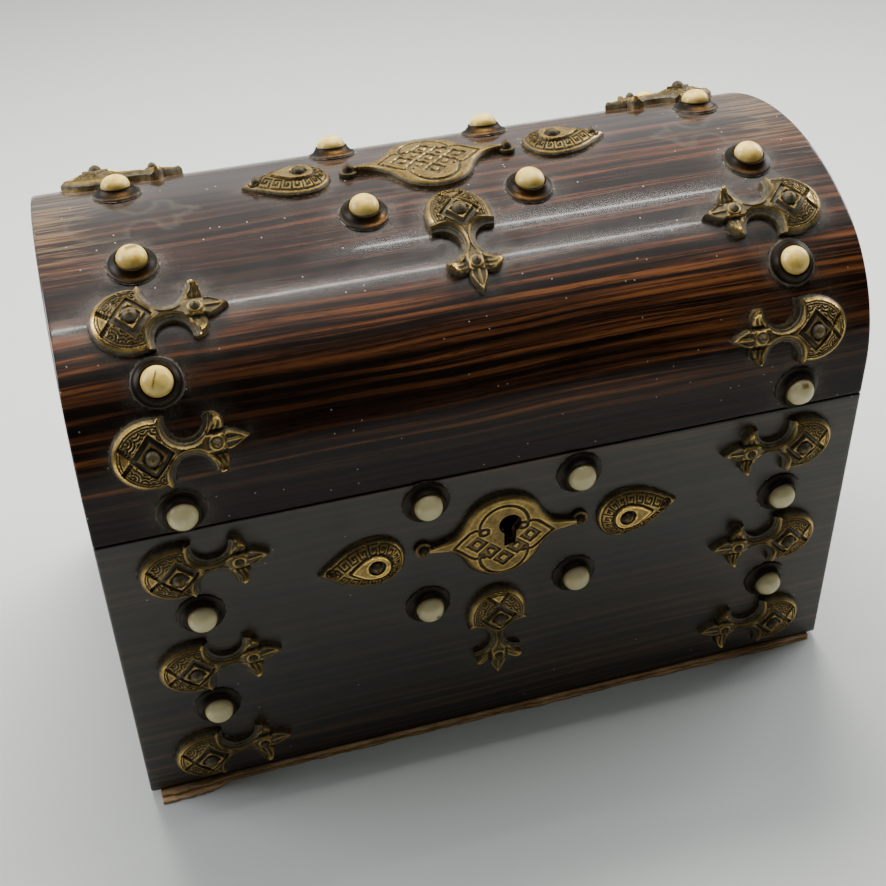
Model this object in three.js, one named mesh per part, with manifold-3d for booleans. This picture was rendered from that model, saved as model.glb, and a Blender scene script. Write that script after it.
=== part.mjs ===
// A dome-topped wooden casket, about 230 mm wide, with cast strap mounts and bone studs.
// Millimetres, +Z up. X runs along the width and the front faces -Y.
// The origin is the centre of the underside.

import * as THREE from 'three';
import { mergeVertices } from 'three/addons/utils/BufferGeometryUtils.js';
import Module from 'manifold-3d';

const wasm = await Module();
wasm.setup();

// The wooden box
const boxWidth = 230;
const boxDepth = 134.3;
const caseHeight = 100.8;
const wallThickness = 8;
const floorThickness = 6;
const seamGap = 0.4;
const fitGap = 0.3;

// The lid's cross-section: a straight band, a round shoulder on each side and a flatter crown that
// meets both shoulders smoothly
const lidBandHeight = 10.3;
const shoulderRadius = 46.7;
const crownLift = 5.6;
const lidThickness = 8;
const facetAngle = 7;
const creaseStep = 9.6;

// The torn sheet under the case
const coverThickness = 2;
const coverEndInset = 3;
const coverBackInset = 2;
const coverFrontOverhang = 1.2;
const coverFlapReach = 2.4;
const coverFlapShare = 0.14;
const coverTearDepth = 0.3;

// The butt hinges at the back
const hingeLength = 32;
const hingeInset = 49;
const leafThickness = 1.2;
const leafWidth = 6.5;
const knuckleDiameter = 5;
const hingePinDiameter = 2.2;
const knuckleStandoff = 0.5;

// Rows of mounts down each side. The case's are set in from the seam and from its underside, and the
// lid's from the front seam and from the back one, along the arch. The third pair on the lid is lost.
const mountPinInset = 19.9;
const caseFirstRow = 12.6;
const caseLastRow = 13;
const lidFirstRow = 25.8;
const lidLastRow = 34;
const mountLean = 1.5;
const caseRowNumbers = [1, 2, 3];
const lidRowNumbers = [1, 2, 3, 4, 5];
const keptLidRows = [1, 2, 4, 5];
const lidStudNumbers = [1, 2, 3, 4, 5, 6];

// Set by hand: how far each piece sits across and up (or back over the arch) from its even place
const placeShifts = {
  strap_mount_case_left_1: [0.8, 0],
  strap_mount_case_left_2: [0.5, 0],
  strap_mount_case_right_3: [-0.6, 1.2],
  strap_mount_lid_left_2: [1.3, -2.3],
  strap_mount_lid_right_2: [0.5, -0.5],
  fan_mount_case: [-1.9, 0.9],
  fan_mount_lid: [0.4, -2.7],
  stud_case_left_1: [0.7, 0.8],
  stud_case_left_2: [0.7, 0.4],
  stud_case_right_1: [0.5, -0.6],
  stud_case_right_2: [0.5, 0],
  stud_case_centre_left_1: [0.7, 0.4],
  stud_case_centre_right_1: [0.4, -0.3],
  stud_case_centre_left_2: [0, -0.3],
  stud_case_centre_right_2: [0, -0.8],
  stud_lid_left_1: [0.5, 0.1],
  stud_lid_left_2: [0.5, -0.8],
  stud_lid_left_3: [0.5, -2],
  stud_lid_left_4: [0.5, -0.5],
  stud_lid_right_1: [1, 0.2],
  stud_lid_right_2: [1, 0.9],
  stud_lid_right_3: [1, 0.3],
  stud_lid_right_4: [1, -0.5],
  stud_lid_centre_left_1: [-0.4, -0.6],
  stud_lid_centre_right_1: [0, -0.3],
};

// The strap mount, from its main pin to each end
const mountThickness = 2.8;
const mountBevel = 1.2;
const lobeLength = 10.8;
const lobeHalfWidth = 9.6;
const hornReach = 4.9;
const cutoutRadius = 5.1;
const cutoutReach = 9.8;
const leafHalfWidth = 7.3;
const leafBulge = 1;
const tipReach = 25.8;
const tipLength = 7;
const tipHalfWidth = 2.6;
const tipPinReach = 16.9;
const bossHalfDiagonal = 7.4;
const bossShoulder = 5.7;
const bossRise = 1.3;
const frameHalfDiagonal = 3.9;
const frameRise = 0.5;
const frameSlope = 0.5;
const mainPinDiameter = 4;
const mainPinRise = 1.8;
const tipPinDiameter = 3.4;
const tipPinRise = 2.1;
const pinSides = 6;

// The plates in the middle: the pierced one round the keyhole and the plain one on the crest
const plateHalfHeight = 15.4;
const plateTailReach = 23.2;
const plateTailWidth = 1.6;
const plateThickness = 2.2;
const plateBevel = 1.2;
const plateDiscReach = 24.3;
const plateDiscDiameter = 5.4;
const plateDiscHeight = 1.1;
const plateBallDiameter = 3.4;
const plateBallRise = 2.4;
const plateDepthBelowSeam = 24.4;
const plateLean = -0.7;
const lidPlateArc = 107;
const fanDepthBelowSeam = 56.5;
const fanLidArc = 80.3;

// The keyhole
const keyholeX = 1.9;
const keyholeDiameter = 7.1;
const keyholeSlotWidth = 3.7;
const keyholeHeight = 11.4;
const keyholeDepthBelowSeam = 20;

// The teardrop mounts
const teardropLength = 25.9;
const teardropWidth = 17.6;
const teardropEyeInset = 9;
const teardropTipPinInset = 4;
const teardropThickness = 2.4;
const teardropBevelShare = 0.14;
const teardropInnerShare = 0.52;
const teardropInnerSlope = 0.06;
const teardropInnerRise = 0.8;
const teardropInnerRim = 0.4;
const teardropEyeX = 38.9;
const teardropDepths = [24.7, 26.2];
const teardropLean = 3;

// The studs
const studDiameter = 14;
const studNeckDiameter = 10.2;
const collarHeight = 2.5;
const boneDiameter = 8.4;
const boneRise = 3.1;
const boneSeat = 0.2;
const studSides = 8;
const studInset = 24.2;
const centreStudX = 23.4;
const centreStudLidX = 24.4;
const caseCentreStuds = [7.4, 46.4];
const lidCentreStuds = [86.4, 129.4];

// Heights and half sizes that follow
const caseBottom = coverThickness + fitGap;
const seamHeight = caseBottom + caseHeight;
const lidBottom = seamHeight + seamGap;
const halfWidth = boxWidth / 2;
const halfDepth = boxDepth / 2;
const springHeight = lidBottom + lidBandHeight;
const shoulderCentre = halfDepth - shoulderRadius;
const lidRise = shoulderRadius + crownLift;
const crownRadius = (shoulderCentre ** 2 + lidRise ** 2 - shoulderRadius ** 2) / (2 * crownLift);
const crownCentreHeight = springHeight + lidRise - crownRadius;
const crownHalfAngle = Math.atan2(shoulderCentre, crownRadius - lidRise);
const shoulderAngle = Math.PI / 2 - crownHalfAngle;
const archLength = 2 * (lidBandHeight + shoulderRadius * shoulderAngle + crownRadius * crownHalfAngle);

const wood = () => new THREE.MeshStandardMaterial({ color: 0x3a2a22, roughness: 0.35, metalness: 0 });
const brass = () => new THREE.MeshStandardMaterial({ color: 0x8f7a45, roughness: 0.4, metalness: 1 });
const bone = () => new THREE.MeshStandardMaterial({ color: 0xd9cfb4, roughness: 0.35, metalness: 0 });
const hide = () => new THREE.MeshStandardMaterial({ color: 0x9a7c58, roughness: 0.9, metalness: 0 });

const box = new THREE.Group();

function addMesh(name, geometry, material, parent = box) {
  const mesh = new THREE.Mesh(geometry, material);
  mesh.name = name;
  parent.add(mesh);
  return mesh;
}

// Solids: joining and cutting

function toSolid(geometry) {
  const bare = geometry.clone();
  bare.deleteAttribute('normal');
  bare.deleteAttribute('uv');
  const merged = mergeVertices(bare, 1e-4);
  const vertProperties = new Float32Array(merged.attributes.position.array);
  const triVerts = new Uint32Array(merged.index.array);
  return new wasm.Manifold(new wasm.Mesh({ numProp: 3, vertProperties, triVerts }));
}

function toGeometry(solid) {
  const mesh = solid.getMesh();
  const geometry = new THREE.BufferGeometry();
  geometry.setAttribute('position', new THREE.Float32BufferAttribute(Array.from(mesh.vertProperties), 3));
  geometry.setIndex(Array.from(mesh.triVerts));
  geometry.computeVertexNormals();
  return geometry;
}

function join(...geometries) {
  const solids = geometries.map(toSolid);
  return toGeometry(solids.reduce((whole, solid) => whole.add(solid)));
}

function cut(geometry, ...tools) {
  return toGeometry(tools.map(toSolid).reduce((whole, tool) => whole.subtract(tool), toSolid(geometry)));
}

function block(x0, x1, y0, y1, z0, z1) {
  const geometry = new THREE.BoxGeometry(x1 - x0, y1 - y0, z1 - z0);
  return geometry.translate((x0 + x1) / 2, (y0 + y1) / 2, (z0 + z1) / 2);
}

function rod(diameter, x0, x1, y, z, sides = 6) {
  const geometry = new THREE.CylinderGeometry(diameter / 2, diameter / 2, x1 - x0, sides);
  return geometry.rotateZ(Math.PI / 2).translate((x0 + x1) / 2, y, z);
}

// Outlines and the plates raised on them

function arc(centreX, centreY, radiusX, radiusY, fromDegrees, toDegrees, steps) {
  const points = [];
  for (let i = 0; i <= steps; i += 1) {
    const angle = THREE.MathUtils.degToRad(fromDegrees + ((toDegrees - fromDegrees) * i) / steps);
    points.push(new THREE.Vector2(centreX + radiusX * Math.cos(angle), centreY + radiusY * Math.sin(angle)));
  }
  return points;
}

function sweep(start, pullStart, pullEnd, end, steps) {
  const vectors = [start, pullStart, pullEnd, end].map(([x, y]) => new THREE.Vector2(x, y));
  return new THREE.CubicBezierCurve(...vectors).getPoints(steps);
}

// Joins stretches of points and drops the ones that repeat.
function chain(...stretches) {
  const points = stretches.flat();
  return points.filter((point, i) => i === 0 || point.distanceTo(points[i - 1]) > 0.01);
}

// Closes a half outline, drawn above the X axis, with its mirror image below.
function mirrorBelow(half) {
  const below = half.filter((point) => Math.abs(point.y) > 0.01);
  const outline = [...half, ...below.map((point) => new THREE.Vector2(point.x, -point.y)).reverse()];
  return THREE.ShapeUtils.isClockWise(outline) ? outline.reverse() : outline;
}

function insetOutline(outline, inset) {
  const count = outline.length;
  return outline.map((point, i) => {
    const before = point.clone().sub(outline[(i + count - 1) % count]).normalize();
    const after = outline[(i + 1) % count].clone().sub(point).normalize();
    const normal = new THREE.Vector2(-before.y - after.y, before.x + after.x).normalize();
    const lean = Math.max(normal.dot(new THREE.Vector2(-before.y, before.x)), 0.35);
    return point.clone().addScaledVector(normal, inset / lean);
  });
}

// Raises an outline through steps of [inset, height] into one closed solid.
function raise(outline, steps) {
  return stack(steps.map(([inset, height]) => [insetOutline(outline, inset), height]));
}

// The same with steps of [share, height], each ring a smaller copy of the outline about its origin.
function raiseByShare(outline, steps) {
  const shrink = (share) => outline.map((point) => point.clone().multiplyScalar(share));
  return stack(steps.map(([share, height]) => [shrink(share), height]));
}

function stack(levels) {
  const rings = levels.map(([ring]) => ring);
  const count = rings[0].length;
  const positions = levels.flatMap(([ring, height]) => ring.flatMap((point) => [point.x, point.y, height]));
  const index = [];
  for (let k = 0; k < rings.length - 1; k += 1) {
    for (let i = 0; i < count; i += 1) {
      const low = k * count + i;
      const lowNext = k * count + ((i + 1) % count);
      index.push(low, lowNext, lowNext + count, low, lowNext + count, low + count);
    }
  }
  THREE.ShapeUtils.triangulateShape(rings[0], []).forEach(([a, b, c]) => index.push(a, c, b));
  const top = (rings.length - 1) * count;
  THREE.ShapeUtils.triangulateShape(rings[rings.length - 1], []).forEach(([a, b, c]) => {
    index.push(top + a, top + b, top + c);
  });
  const geometry = new THREE.BufferGeometry();
  geometry.setAttribute('position', new THREE.Float32BufferAttribute(positions, 3));
  geometry.setIndex(index);
  return geometry;
}

// A round piece on the local Z axis, from a profile of [radius, height] pairs.
function turned(profile, sides) {
  const points = profile.map(([radius, height]) => new THREE.Vector2(radius, height));
  return new THREE.LatheGeometry(points, sides).rotateX(Math.PI / 2);
}

function pinHead(x, y, diameter, base, rise) {
  const radius = diameter / 2;
  const sunk = base - mountBevel;
  const profile = [[0, sunk], [radius, sunk], [radius * 0.85, base + rise * 0.6], [0, base + rise]];
  return turned(profile, pinSides).translate(x, y, 0);
}

// The lid's arch: a point on its outer surface and the outward direction there, by length along the
// arch from the front seam.
function archPoint(length) {
  const fromCrest = length - archLength / 2;
  const side = Math.sign(fromCrest) || 1;
  const run = Math.abs(fromCrest);
  const crownRun = crownRadius * crownHalfAngle;
  const shoulderRun = shoulderRadius * shoulderAngle;
  let angle = run / crownRadius;
  let y = crownRadius * Math.sin(angle);
  let z = crownCentreHeight + crownRadius * Math.cos(angle);
  if (run > crownRun) {
    angle = Math.min(crownHalfAngle + (run - crownRun) / shoulderRadius, Math.PI / 2);
    y = shoulderCentre + shoulderRadius * Math.sin(angle);
    z = springHeight + shoulderRadius * Math.cos(angle);
  }
  if (run > crownRun + shoulderRun) {
    z = springHeight - (run - crownRun - shoulderRun);
  }
  return { y: side * y, z, outY: side * Math.sin(angle), outZ: Math.cos(angle) };
}

// The arch as an outline in the Y-Z plane, set in from the outer surface, and closed below the lid.
function archOutline(inset, bottom) {
  const facet = THREE.MathUtils.degToRad(facetAngle);
  const crownSteps = 2 * Math.ceil(crownHalfAngle / facet);
  const shoulderSteps = Math.ceil(shoulderAngle / facet);
  const crown = THREE.MathUtils.radToDeg(crownHalfAngle);
  const shoulder = shoulderRadius - inset;
  const round = crownRadius - inset;
  const right = arc(shoulderCentre, springHeight, shoulder, shoulder, 0, 90 - crown, shoulderSteps);
  const top = arc(0, crownCentreHeight, round, round, 90 - crown, 90 + crown, crownSteps);
  const left = arc(-shoulderCentre, springHeight, shoulder, shoulder, 90 + crown, 180, shoulderSteps);
  const foot = halfDepth - inset;
  return chain([new THREE.Vector2(foot, bottom)], right, top, left, [new THREE.Vector2(-foot, bottom)]);
}

// Extrudes a Y-Z outline along X.
function alongWidth(outline, x0, x1) {
  const geometry = raise(outline, [[0, x0], [0, x1]]);
  const turn = new THREE.Matrix4().set(0, 0, 1, 0, 1, 0, 0, 0, 0, 1, 0, 0, 0, 0, 0, 1);
  return geometry.applyMatrix4(turn);
}

// Bending a flat piece over the arch

// Splits the triangles where they cross planes of constant Y, so that the piece can bend there.
function crease(geometry, heights) {
  const position = geometry.attributes.position;
  const points = [];
  for (let i = 0; i < position.count; i += 1) {
    points.push(new THREE.Vector3().fromBufferAttribute(position, i));
  }
  let triangles = [];
  for (let i = 0; i < geometry.index.count; i += 3) {
    triangles.push([0, 1, 2].map((k) => geometry.index.getX(i + k)));
  }
  for (const height of heights) {
    const sideOf = points.map(({ y }) => (Math.abs(y - height) < 0.02 ? 0 : Math.sign(y - height)));
    const made = new Map();
    const crossing = (a, b) => {
      const key = `${Math.min(a, b)} ${Math.max(a, b)}`;
      if (!made.has(key)) {
        const share = (height - points[a].y) / (points[b].y - points[a].y);
        made.set(key, points.push(points[a].clone().lerp(points[b], share)) - 1);
      }
      return made.get(key);
    };
    triangles = triangles.flatMap((corners) => splitTriangle(corners, sideOf, crossing));
  }
  const creased = new THREE.BufferGeometry();
  creased.setAttribute('position', new THREE.Float32BufferAttribute(points.flatMap((p) => p.toArray()), 3));
  creased.setIndex(triangles.flat());
  return creased;
}

function splitTriangle(corners, sideOf, crossing) {
  const sides = corners.map((corner) => sideOf[corner]);
  if (!sides.includes(1) || !sides.includes(-1)) {
    return [corners];
  }
  const onPlane = sides.indexOf(0);
  const lone = -Math.sign(sides[0] + sides[1] + sides[2]);
  const alone = onPlane >= 0 ? onPlane : sides.indexOf(lone);
  const [a, b, c] = [0, 1, 2].map((k) => corners[(alone + k) % 3]);
  if (onPlane >= 0) {
    const middle = crossing(b, c);
    return [[a, b, middle], [a, middle, c]];
  }
  const nearB = crossing(a, b);
  const nearC = crossing(a, c);
  return [[a, nearB, nearC], [nearB, b, c], [nearB, c, nearC]];
}

// The creases lie half a step off the centre line, so that the pins on it stay whole.
function bendOverLid(geometry, arcLength) {
  geometry.computeBoundingBox();
  const { min, max } = geometry.boundingBox;
  const heights = [];
  for (let k = Math.floor(min.y / creaseStep); (k + 0.5) * creaseStep < max.y; k += 1) {
    heights.push((k + 0.5) * creaseStep);
  }
  const bent = crease(geometry, heights);
  const position = bent.attributes.position;
  for (let i = 0; i < position.count; i += 1) {
    const spot = archPoint(arcLength + position.getY(i));
    const lift = fitGap + position.getZ(i);
    position.setXYZ(i, position.getX(i), spot.y + spot.outY * lift, spot.z + spot.outZ * lift);
  }
  return bent;
}

// The castings, flat on the local X-Y plane

function strapMount() {
  const shift = hornReach - cutoutReach;
  const hornHeight = leafHalfWidth + Math.sqrt(Math.max(cutoutRadius ** 2 - shift ** 2, 1));
  const hornAngle = THREE.MathUtils.radToDeg(Math.atan2(hornHeight - leafHalfWidth, shift));
  const leafStart = cutoutReach + cutoutRadius;
  const notch = tipReach - tipLength;
  const leafCrest = leafHalfWidth + leafBulge;
  const half = chain(
    arc(0, 0, lobeLength, lobeHalfWidth, 180, 92, 4),
    [new THREE.Vector2(hornReach, Math.max(hornHeight, lobeHalfWidth - 0.7))],
    arc(cutoutReach, leafHalfWidth, cutoutRadius, cutoutRadius, hornAngle, 360, 4).slice(1),
    sweep(
      [leafStart, leafHalfWidth],
      [leafStart + leafBulge, leafCrest],
      [notch, leafCrest],
      [notch + leafBulge / 2, leafHalfWidth * 0.74],
      2,
    ),
    [
      new THREE.Vector2(notch, tipHalfWidth * 0.85),
      new THREE.Vector2(notch + tipLength * 0.31, tipHalfWidth),
      new THREE.Vector2(tipReach, 0),
    ],
  );
  const foot = mountThickness - mountBevel;
  const plate = raise(mirrorBelow(half), [[0, 0], [0, foot], [mountBevel, mountThickness]]);
  const bossTop = mountThickness + bossRise;
  const frameTop = bossTop + frameRise;
  const bossProfile = [
    [0, foot],
    [bossHalfDiagonal, mountThickness - mountBevel / 2],
    [bossShoulder, bossTop - frameRise],
    [frameHalfDiagonal, bossTop],
    [frameHalfDiagonal - frameSlope, frameTop],
    [0, frameTop],
  ];
  const mainPin = pinHead(0, 0, mainPinDiameter, frameTop, mainPinRise);
  const tipPin = pinHead(tipPinReach, 0, tipPinDiameter, mountThickness, tipPinRise);
  return join(plate, turned(bossProfile, 4), mainPin, tipPin);
}

function plateOutline() {
  const tail = plateTailWidth / 2;
  const share = (x, y) => [plateHalfHeight * x, plateHalfHeight * y];
  const left = chain(
    sweep([-plateTailReach, tail], share(-1.07, 0.08), share(-0.88, 0.27), share(-0.75, 0.545), 3),
    sweep(share(-0.75, 0.545), share(-0.61, 0.84), share(-0.325, 1), share(0, 1), 3),
  );
  const right = left.map((point) => new THREE.Vector2(-point.x, point.y)).reverse();
  return mirrorBelow(chain(left, right));
}

function lozengePlate() {
  const steps = [[0, 0], [0, plateThickness - plateBevel], [plateBevel * 0.6, plateThickness]];
  const plate = raise(plateOutline(), steps);
  const disc = plateDiscDiameter / 2;
  const ball = plateBallDiameter / 2;
  const profile = [
    [0, 0],
    [disc, 0],
    [disc, plateDiscHeight],
    [ball, plateDiscHeight],
    [ball * 0.85, plateDiscHeight + plateBallRise * 0.6],
    [0, plateDiscHeight + plateBallRise],
  ];
  const ends = [-1, 1].map((side) => turned(profile, pinSides).translate(side * plateDiscReach, 0, 0));
  return join(plate, ...ends);
}

function keyholeOutline() {
  const radius = keyholeDiameter / 2;
  const slot = keyholeSlotWidth / 2;
  const meet = THREE.MathUtils.radToDeg(Math.asin(slot / radius));
  const round = arc(0, 0, radius, radius, meet - 90, 270 - meet, 12);
  const foot = radius - keyholeHeight;
  return [...round, new THREE.Vector2(-slot, foot), new THREE.Vector2(slot, foot)];
}

function teardrop() {
  const wide = teardropWidth / 2;
  const tip = teardropEyeInset - teardropLength;
  const end = teardropEyeInset;
  const half = chain(
    sweep([tip, 0], [tip * 0.68, wide * 0.55], [tip * 0.43, wide], [0, wide], 4),
    sweep([0, wide], [end * 0.59, wide], [end, wide * 0.59], [end, 0], 2),
  );
  const innerFoot = teardropThickness + teardropInnerRise;
  const innerTop = innerFoot + teardropInnerRim;
  const body = raiseByShare(mirrorBelow(half), [
    [1, 0],
    [1, teardropThickness - mountBevel * 0.7],
    [1 - teardropBevelShare, teardropThickness],
    [teardropInnerShare, innerFoot],
    [teardropInnerShare - teardropInnerSlope, innerTop],
  ]);
  const eye = pinHead(0, 0, mainPinDiameter, innerTop, mainPinRise);
  const tipPinFoot = teardropThickness - mountBevel / 2;
  const tipPin = pinHead(tip + teardropTipPinInset, 0, tipPinDiameter, tipPinFoot, tipPinRise);
  return join(body, eye, tipPin);
}

function stud() {
  const foot = studDiameter / 2;
  const neck = studNeckDiameter / 2;
  const dome = boneDiameter / 2;
  const profile = [
    [0, 0],
    [foot, 0],
    [neck, collarHeight],
    [dome, collarHeight - boneSeat],
    [dome * 0.78, collarHeight + boneRise * 0.62],
    [0, collarHeight + boneRise],
  ];
  return turned(profile, studSides);
}

// The wooden case and lid

function hingeRecess(x, z0, z1) {
  const half = hingeLength / 2 + fitGap;
  return block(x - half, x + half, halfDepth - leafWidth - fitGap, halfDepth + 1, z0, z1);
}

const hingeXs = [hingeInset - halfWidth, halfWidth - hingeInset];
const recessDepth = leafThickness + fitGap;
const keyholeZ = seamHeight - keyholeDepthBelowSeam;
const keyholeCut = raise(keyholeOutline(), [[0, -1], [0, plateThickness + fitGap + wallThickness + 2]])
  .rotateX(Math.PI / 2)
  .translate(keyholeX, -halfDepth + wallThickness + 1, keyholeZ);

const caseGeometry = cut(
  block(-halfWidth, halfWidth, -halfDepth, halfDepth, caseBottom, seamHeight),
  block(
    wallThickness - halfWidth,
    halfWidth - wallThickness,
    wallThickness - halfDepth,
    halfDepth - wallThickness,
    caseBottom + floorThickness,
    seamHeight + 1,
  ),
  keyholeCut,
  ...hingeXs.map((x) => hingeRecess(x, seamHeight - recessDepth, seamHeight + 1)),
);
addMesh('case', caseGeometry, wood());

const lidGeometry = cut(
  alongWidth(archOutline(0, lidBottom), -halfWidth, halfWidth),
  alongWidth(archOutline(lidThickness, lidBottom - 1), wallThickness - halfWidth, halfWidth - wallThickness),
  ...hingeXs.map((x) => hingeRecess(x, lidBottom - 1, lidBottom + recessDepth)),
);
addMesh('lid', lidGeometry, wood());

// The sheet under the case, with its front edge torn

function coverOutline() {
  const end = halfWidth - coverEndInset;
  const back = halfDepth - coverBackInset;
  const tears = 16;
  const points = [new THREE.Vector2(end, back), new THREE.Vector2(-end, back)];
  for (let i = 0; i <= tears; i += 1) {
    const share = i / tears;
    const ragged = coverTearDepth * (Math.sin(i * 2.3) + 0.7 * Math.sin(i * 5.1));
    const flap = coverFlapReach * Math.max(0, 1 - share / coverFlapShare);
    const overhang = coverFrontOverhang + flap + ragged;
    points.push(new THREE.Vector2(-end + 2 * end * share, -halfDepth - overhang));
  }
  return points;
}

addMesh('base_cover', raise(coverOutline(), [[0, 0], [0, coverThickness]]), hide());

// The hinges: the case leaf carries the outer knuckles and the pin, the lid leaf the middle knuckle

const knuckleY = halfDepth + knuckleDiameter / 2 + knuckleStandoff;
const knuckleZ = seamHeight + seamGap / 2;
const knuckleLength = hingeLength / 3;

function hingeLeaves(x) {
  const start = x - hingeLength / 2;
  const end = x + hingeLength / 2;
  const near = halfDepth - leafWidth;
  const clear = fitGap / 2;
  const middleStart = start + knuckleLength;
  const middleEnd = end - knuckleLength;
  const caseLeaf = join(
    block(start, end, near, halfDepth, seamHeight - leafThickness, seamHeight),
    block(start, middleStart - clear, near, knuckleY, seamHeight - leafThickness, seamHeight),
    block(middleEnd + clear, end, near, knuckleY, seamHeight - leafThickness, seamHeight),
    rod(knuckleDiameter, start, middleStart - clear, knuckleY, knuckleZ),
    rod(knuckleDiameter, middleEnd + clear, end, knuckleY, knuckleZ),
    rod(hingePinDiameter, start, end, knuckleY, knuckleZ),
  );
  const lidLeaf = cut(
    join(
      block(start, end, near, halfDepth, lidBottom, lidBottom + leafThickness),
      block(middleStart + clear, middleEnd - clear, near, knuckleY, lidBottom, lidBottom + leafThickness),
      rod(knuckleDiameter, middleStart + clear, middleEnd - clear, knuckleY, knuckleZ),
    ),
    rod(hingePinDiameter + 2 * fitGap, middleStart, middleEnd, knuckleY, knuckleZ),
  );
  return { caseLeaf, lidLeaf };
}

hingeXs.forEach((x, i) => {
  const side = ['left', 'right'][i];
  const { caseLeaf, lidLeaf } = hingeLeaves(x);
  addMesh(`hinge_${side}_case_leaf`, caseLeaf, brass());
  addMesh(`hinge_${side}_lid_leaf`, lidLeaf, brass());
});

// Everything on the case front hangs in one group, whose local Y runs up from the seam

const caseFront = new THREE.Group();
caseFront.position.set(0, -halfDepth - fitGap, seamHeight);
caseFront.rotation.x = Math.PI / 2;
box.add(caseFront);

function onCase(name, geometry, material, x, belowSeam, turnDegrees = 0) {
  const [across, up] = placeShifts[name] ?? [0, 0];
  const mesh = addMesh(name, geometry, material, caseFront);
  mesh.position.set(x + across, up - belowSeam, 0);
  mesh.rotation.z = THREE.MathUtils.degToRad(turnDegrees);
}

function onLid(name, geometry, material, x, arcLength, turnDegrees = 0) {
  const [across, along] = placeShifts[name] ?? [0, 0];
  const flat = geometry.clone().rotateZ(THREE.MathUtils.degToRad(turnDegrees));
  addMesh(name, bendOverLid(flat.translate(x + across, 0, 0), arcLength + along), material);
}

// A stud sits on the arch's tangent without bending.
function studOnLid(name, x, arcLength) {
  const [across, along] = placeShifts[name] ?? [0, 0];
  const spot = archPoint(arcLength + along);
  const mesh = addMesh(name, stud(), bone());
  mesh.position.set(x + across, spot.y + spot.outY * fitGap, spot.z + spot.outZ * fitGap);
  mesh.rotation.x = -Math.atan2(spot.outY, spot.outZ);
}

const sides = [
  { name: 'left', sign: -1, turn: mountLean },
  { name: 'right', sign: 1, turn: 180 - mountLean },
];
const mountX = halfWidth - mountPinInset;
const studX = halfWidth - studInset;
const casePitch = (caseHeight - caseFirstRow - caseLastRow) / (caseRowNumbers.length - 1);
const lidPitch = (archLength - lidFirstRow - lidLastRow) / (lidRowNumbers.length - 1);

for (const { name, sign, turn } of sides) {
  caseRowNumbers.forEach((row, i) => {
    const below = caseFirstRow + i * casePitch;
    onCase(`strap_mount_case_${name}_${row}`, strapMount(), brass(), sign * mountX, below, turn);
    if (i > 0) {
      onCase(`stud_case_${name}_${i}`, stud(), bone(), sign * studX, below - casePitch / 2);
    }
  });
  lidRowNumbers.forEach((row, i) => {
    const along = lidFirstRow + i * lidPitch;
    if (keptLidRows.includes(row)) {
      onLid(`strap_mount_lid_${name}_${row}`, strapMount(), brass(), sign * mountX, along, turn);
    }
  });
  lidStudNumbers.forEach((number, i) => {
    studOnLid(`stud_lid_${name}_${number}`, sign * studX, lidFirstRow + (i - 0.5) * lidPitch);
  });
  caseCentreStuds.forEach((below, i) => {
    onCase(`stud_case_centre_${name}_${i + 1}`, stud(), bone(), sign * centreStudX, below);
  });
  lidCentreStuds.forEach((along, i) => {
    studOnLid(`stud_lid_centre_${name}_${i + 1}`, sign * centreStudLidX, along);
  });
  const facing = sign < 0 ? 0 : 180;
  const eyeX = sign * teardropEyeX;
  const teardropDepth = teardropDepths[sign < 0 ? 0 : 1];
  onCase(`teardrop_case_${name}`, teardrop(), brass(), eyeX, teardropDepth, facing + teardropLean);
  onLid(`teardrop_lid_${name}`, teardrop(), brass(), eyeX, lidPlateArc, facing);
}

onCase('fan_mount_case', strapMount(), brass(), 0, fanDepthBelowSeam, -90);
onLid('fan_mount_lid', strapMount(), brass(), 0, fanLidArc, -90);
onLid('lid_plate', lozengePlate(), brass(), 0, lidPlateArc);

const keyholeInPlate = raise(keyholeOutline(), [[0, -1], [0, plateThickness + 1]])
  .translate(keyholeX, plateDepthBelowSeam - keyholeDepthBelowSeam, 0);
onCase('escutcheon', cut(lozengePlate(), keyholeInPlate), brass(), 0, plateDepthBelowSeam, plateLean);

export default box;
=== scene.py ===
# A dome-topped treasure box in striped coromandel veneer, with gilt brass mounts and bone studs.
# Each piece is worked out in millimetres in the frame of the solids and scaled to metres at the end.

import math

import bmesh
import bpy
import numpy as np
from mathutils import Matrix


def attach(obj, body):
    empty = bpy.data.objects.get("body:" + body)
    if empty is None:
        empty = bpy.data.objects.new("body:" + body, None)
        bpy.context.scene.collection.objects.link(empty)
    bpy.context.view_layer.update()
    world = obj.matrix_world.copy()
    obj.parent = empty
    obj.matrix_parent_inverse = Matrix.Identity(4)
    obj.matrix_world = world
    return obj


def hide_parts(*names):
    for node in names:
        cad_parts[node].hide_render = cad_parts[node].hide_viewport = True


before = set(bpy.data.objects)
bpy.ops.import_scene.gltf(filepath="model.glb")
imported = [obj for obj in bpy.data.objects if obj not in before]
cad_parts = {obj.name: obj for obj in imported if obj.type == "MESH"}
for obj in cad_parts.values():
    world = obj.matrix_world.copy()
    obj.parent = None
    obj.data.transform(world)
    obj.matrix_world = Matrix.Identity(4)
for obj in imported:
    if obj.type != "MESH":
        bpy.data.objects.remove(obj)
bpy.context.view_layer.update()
mm = 0.001
perMetre = 1000  # a pattern's scale is this over its size in millimetres
rng = np.random.default_rng(11)


# Small helpers

def linear(hexColour):
    channels = [int(hexColour[i:i + 2], 16) / 255 for i in (1, 3, 5)]
    return tuple(c / 12.92 if c <= 0.04045 else ((c + 0.055) / 1.055) ** 2.4 for c in channels) + (1.0,)


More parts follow.
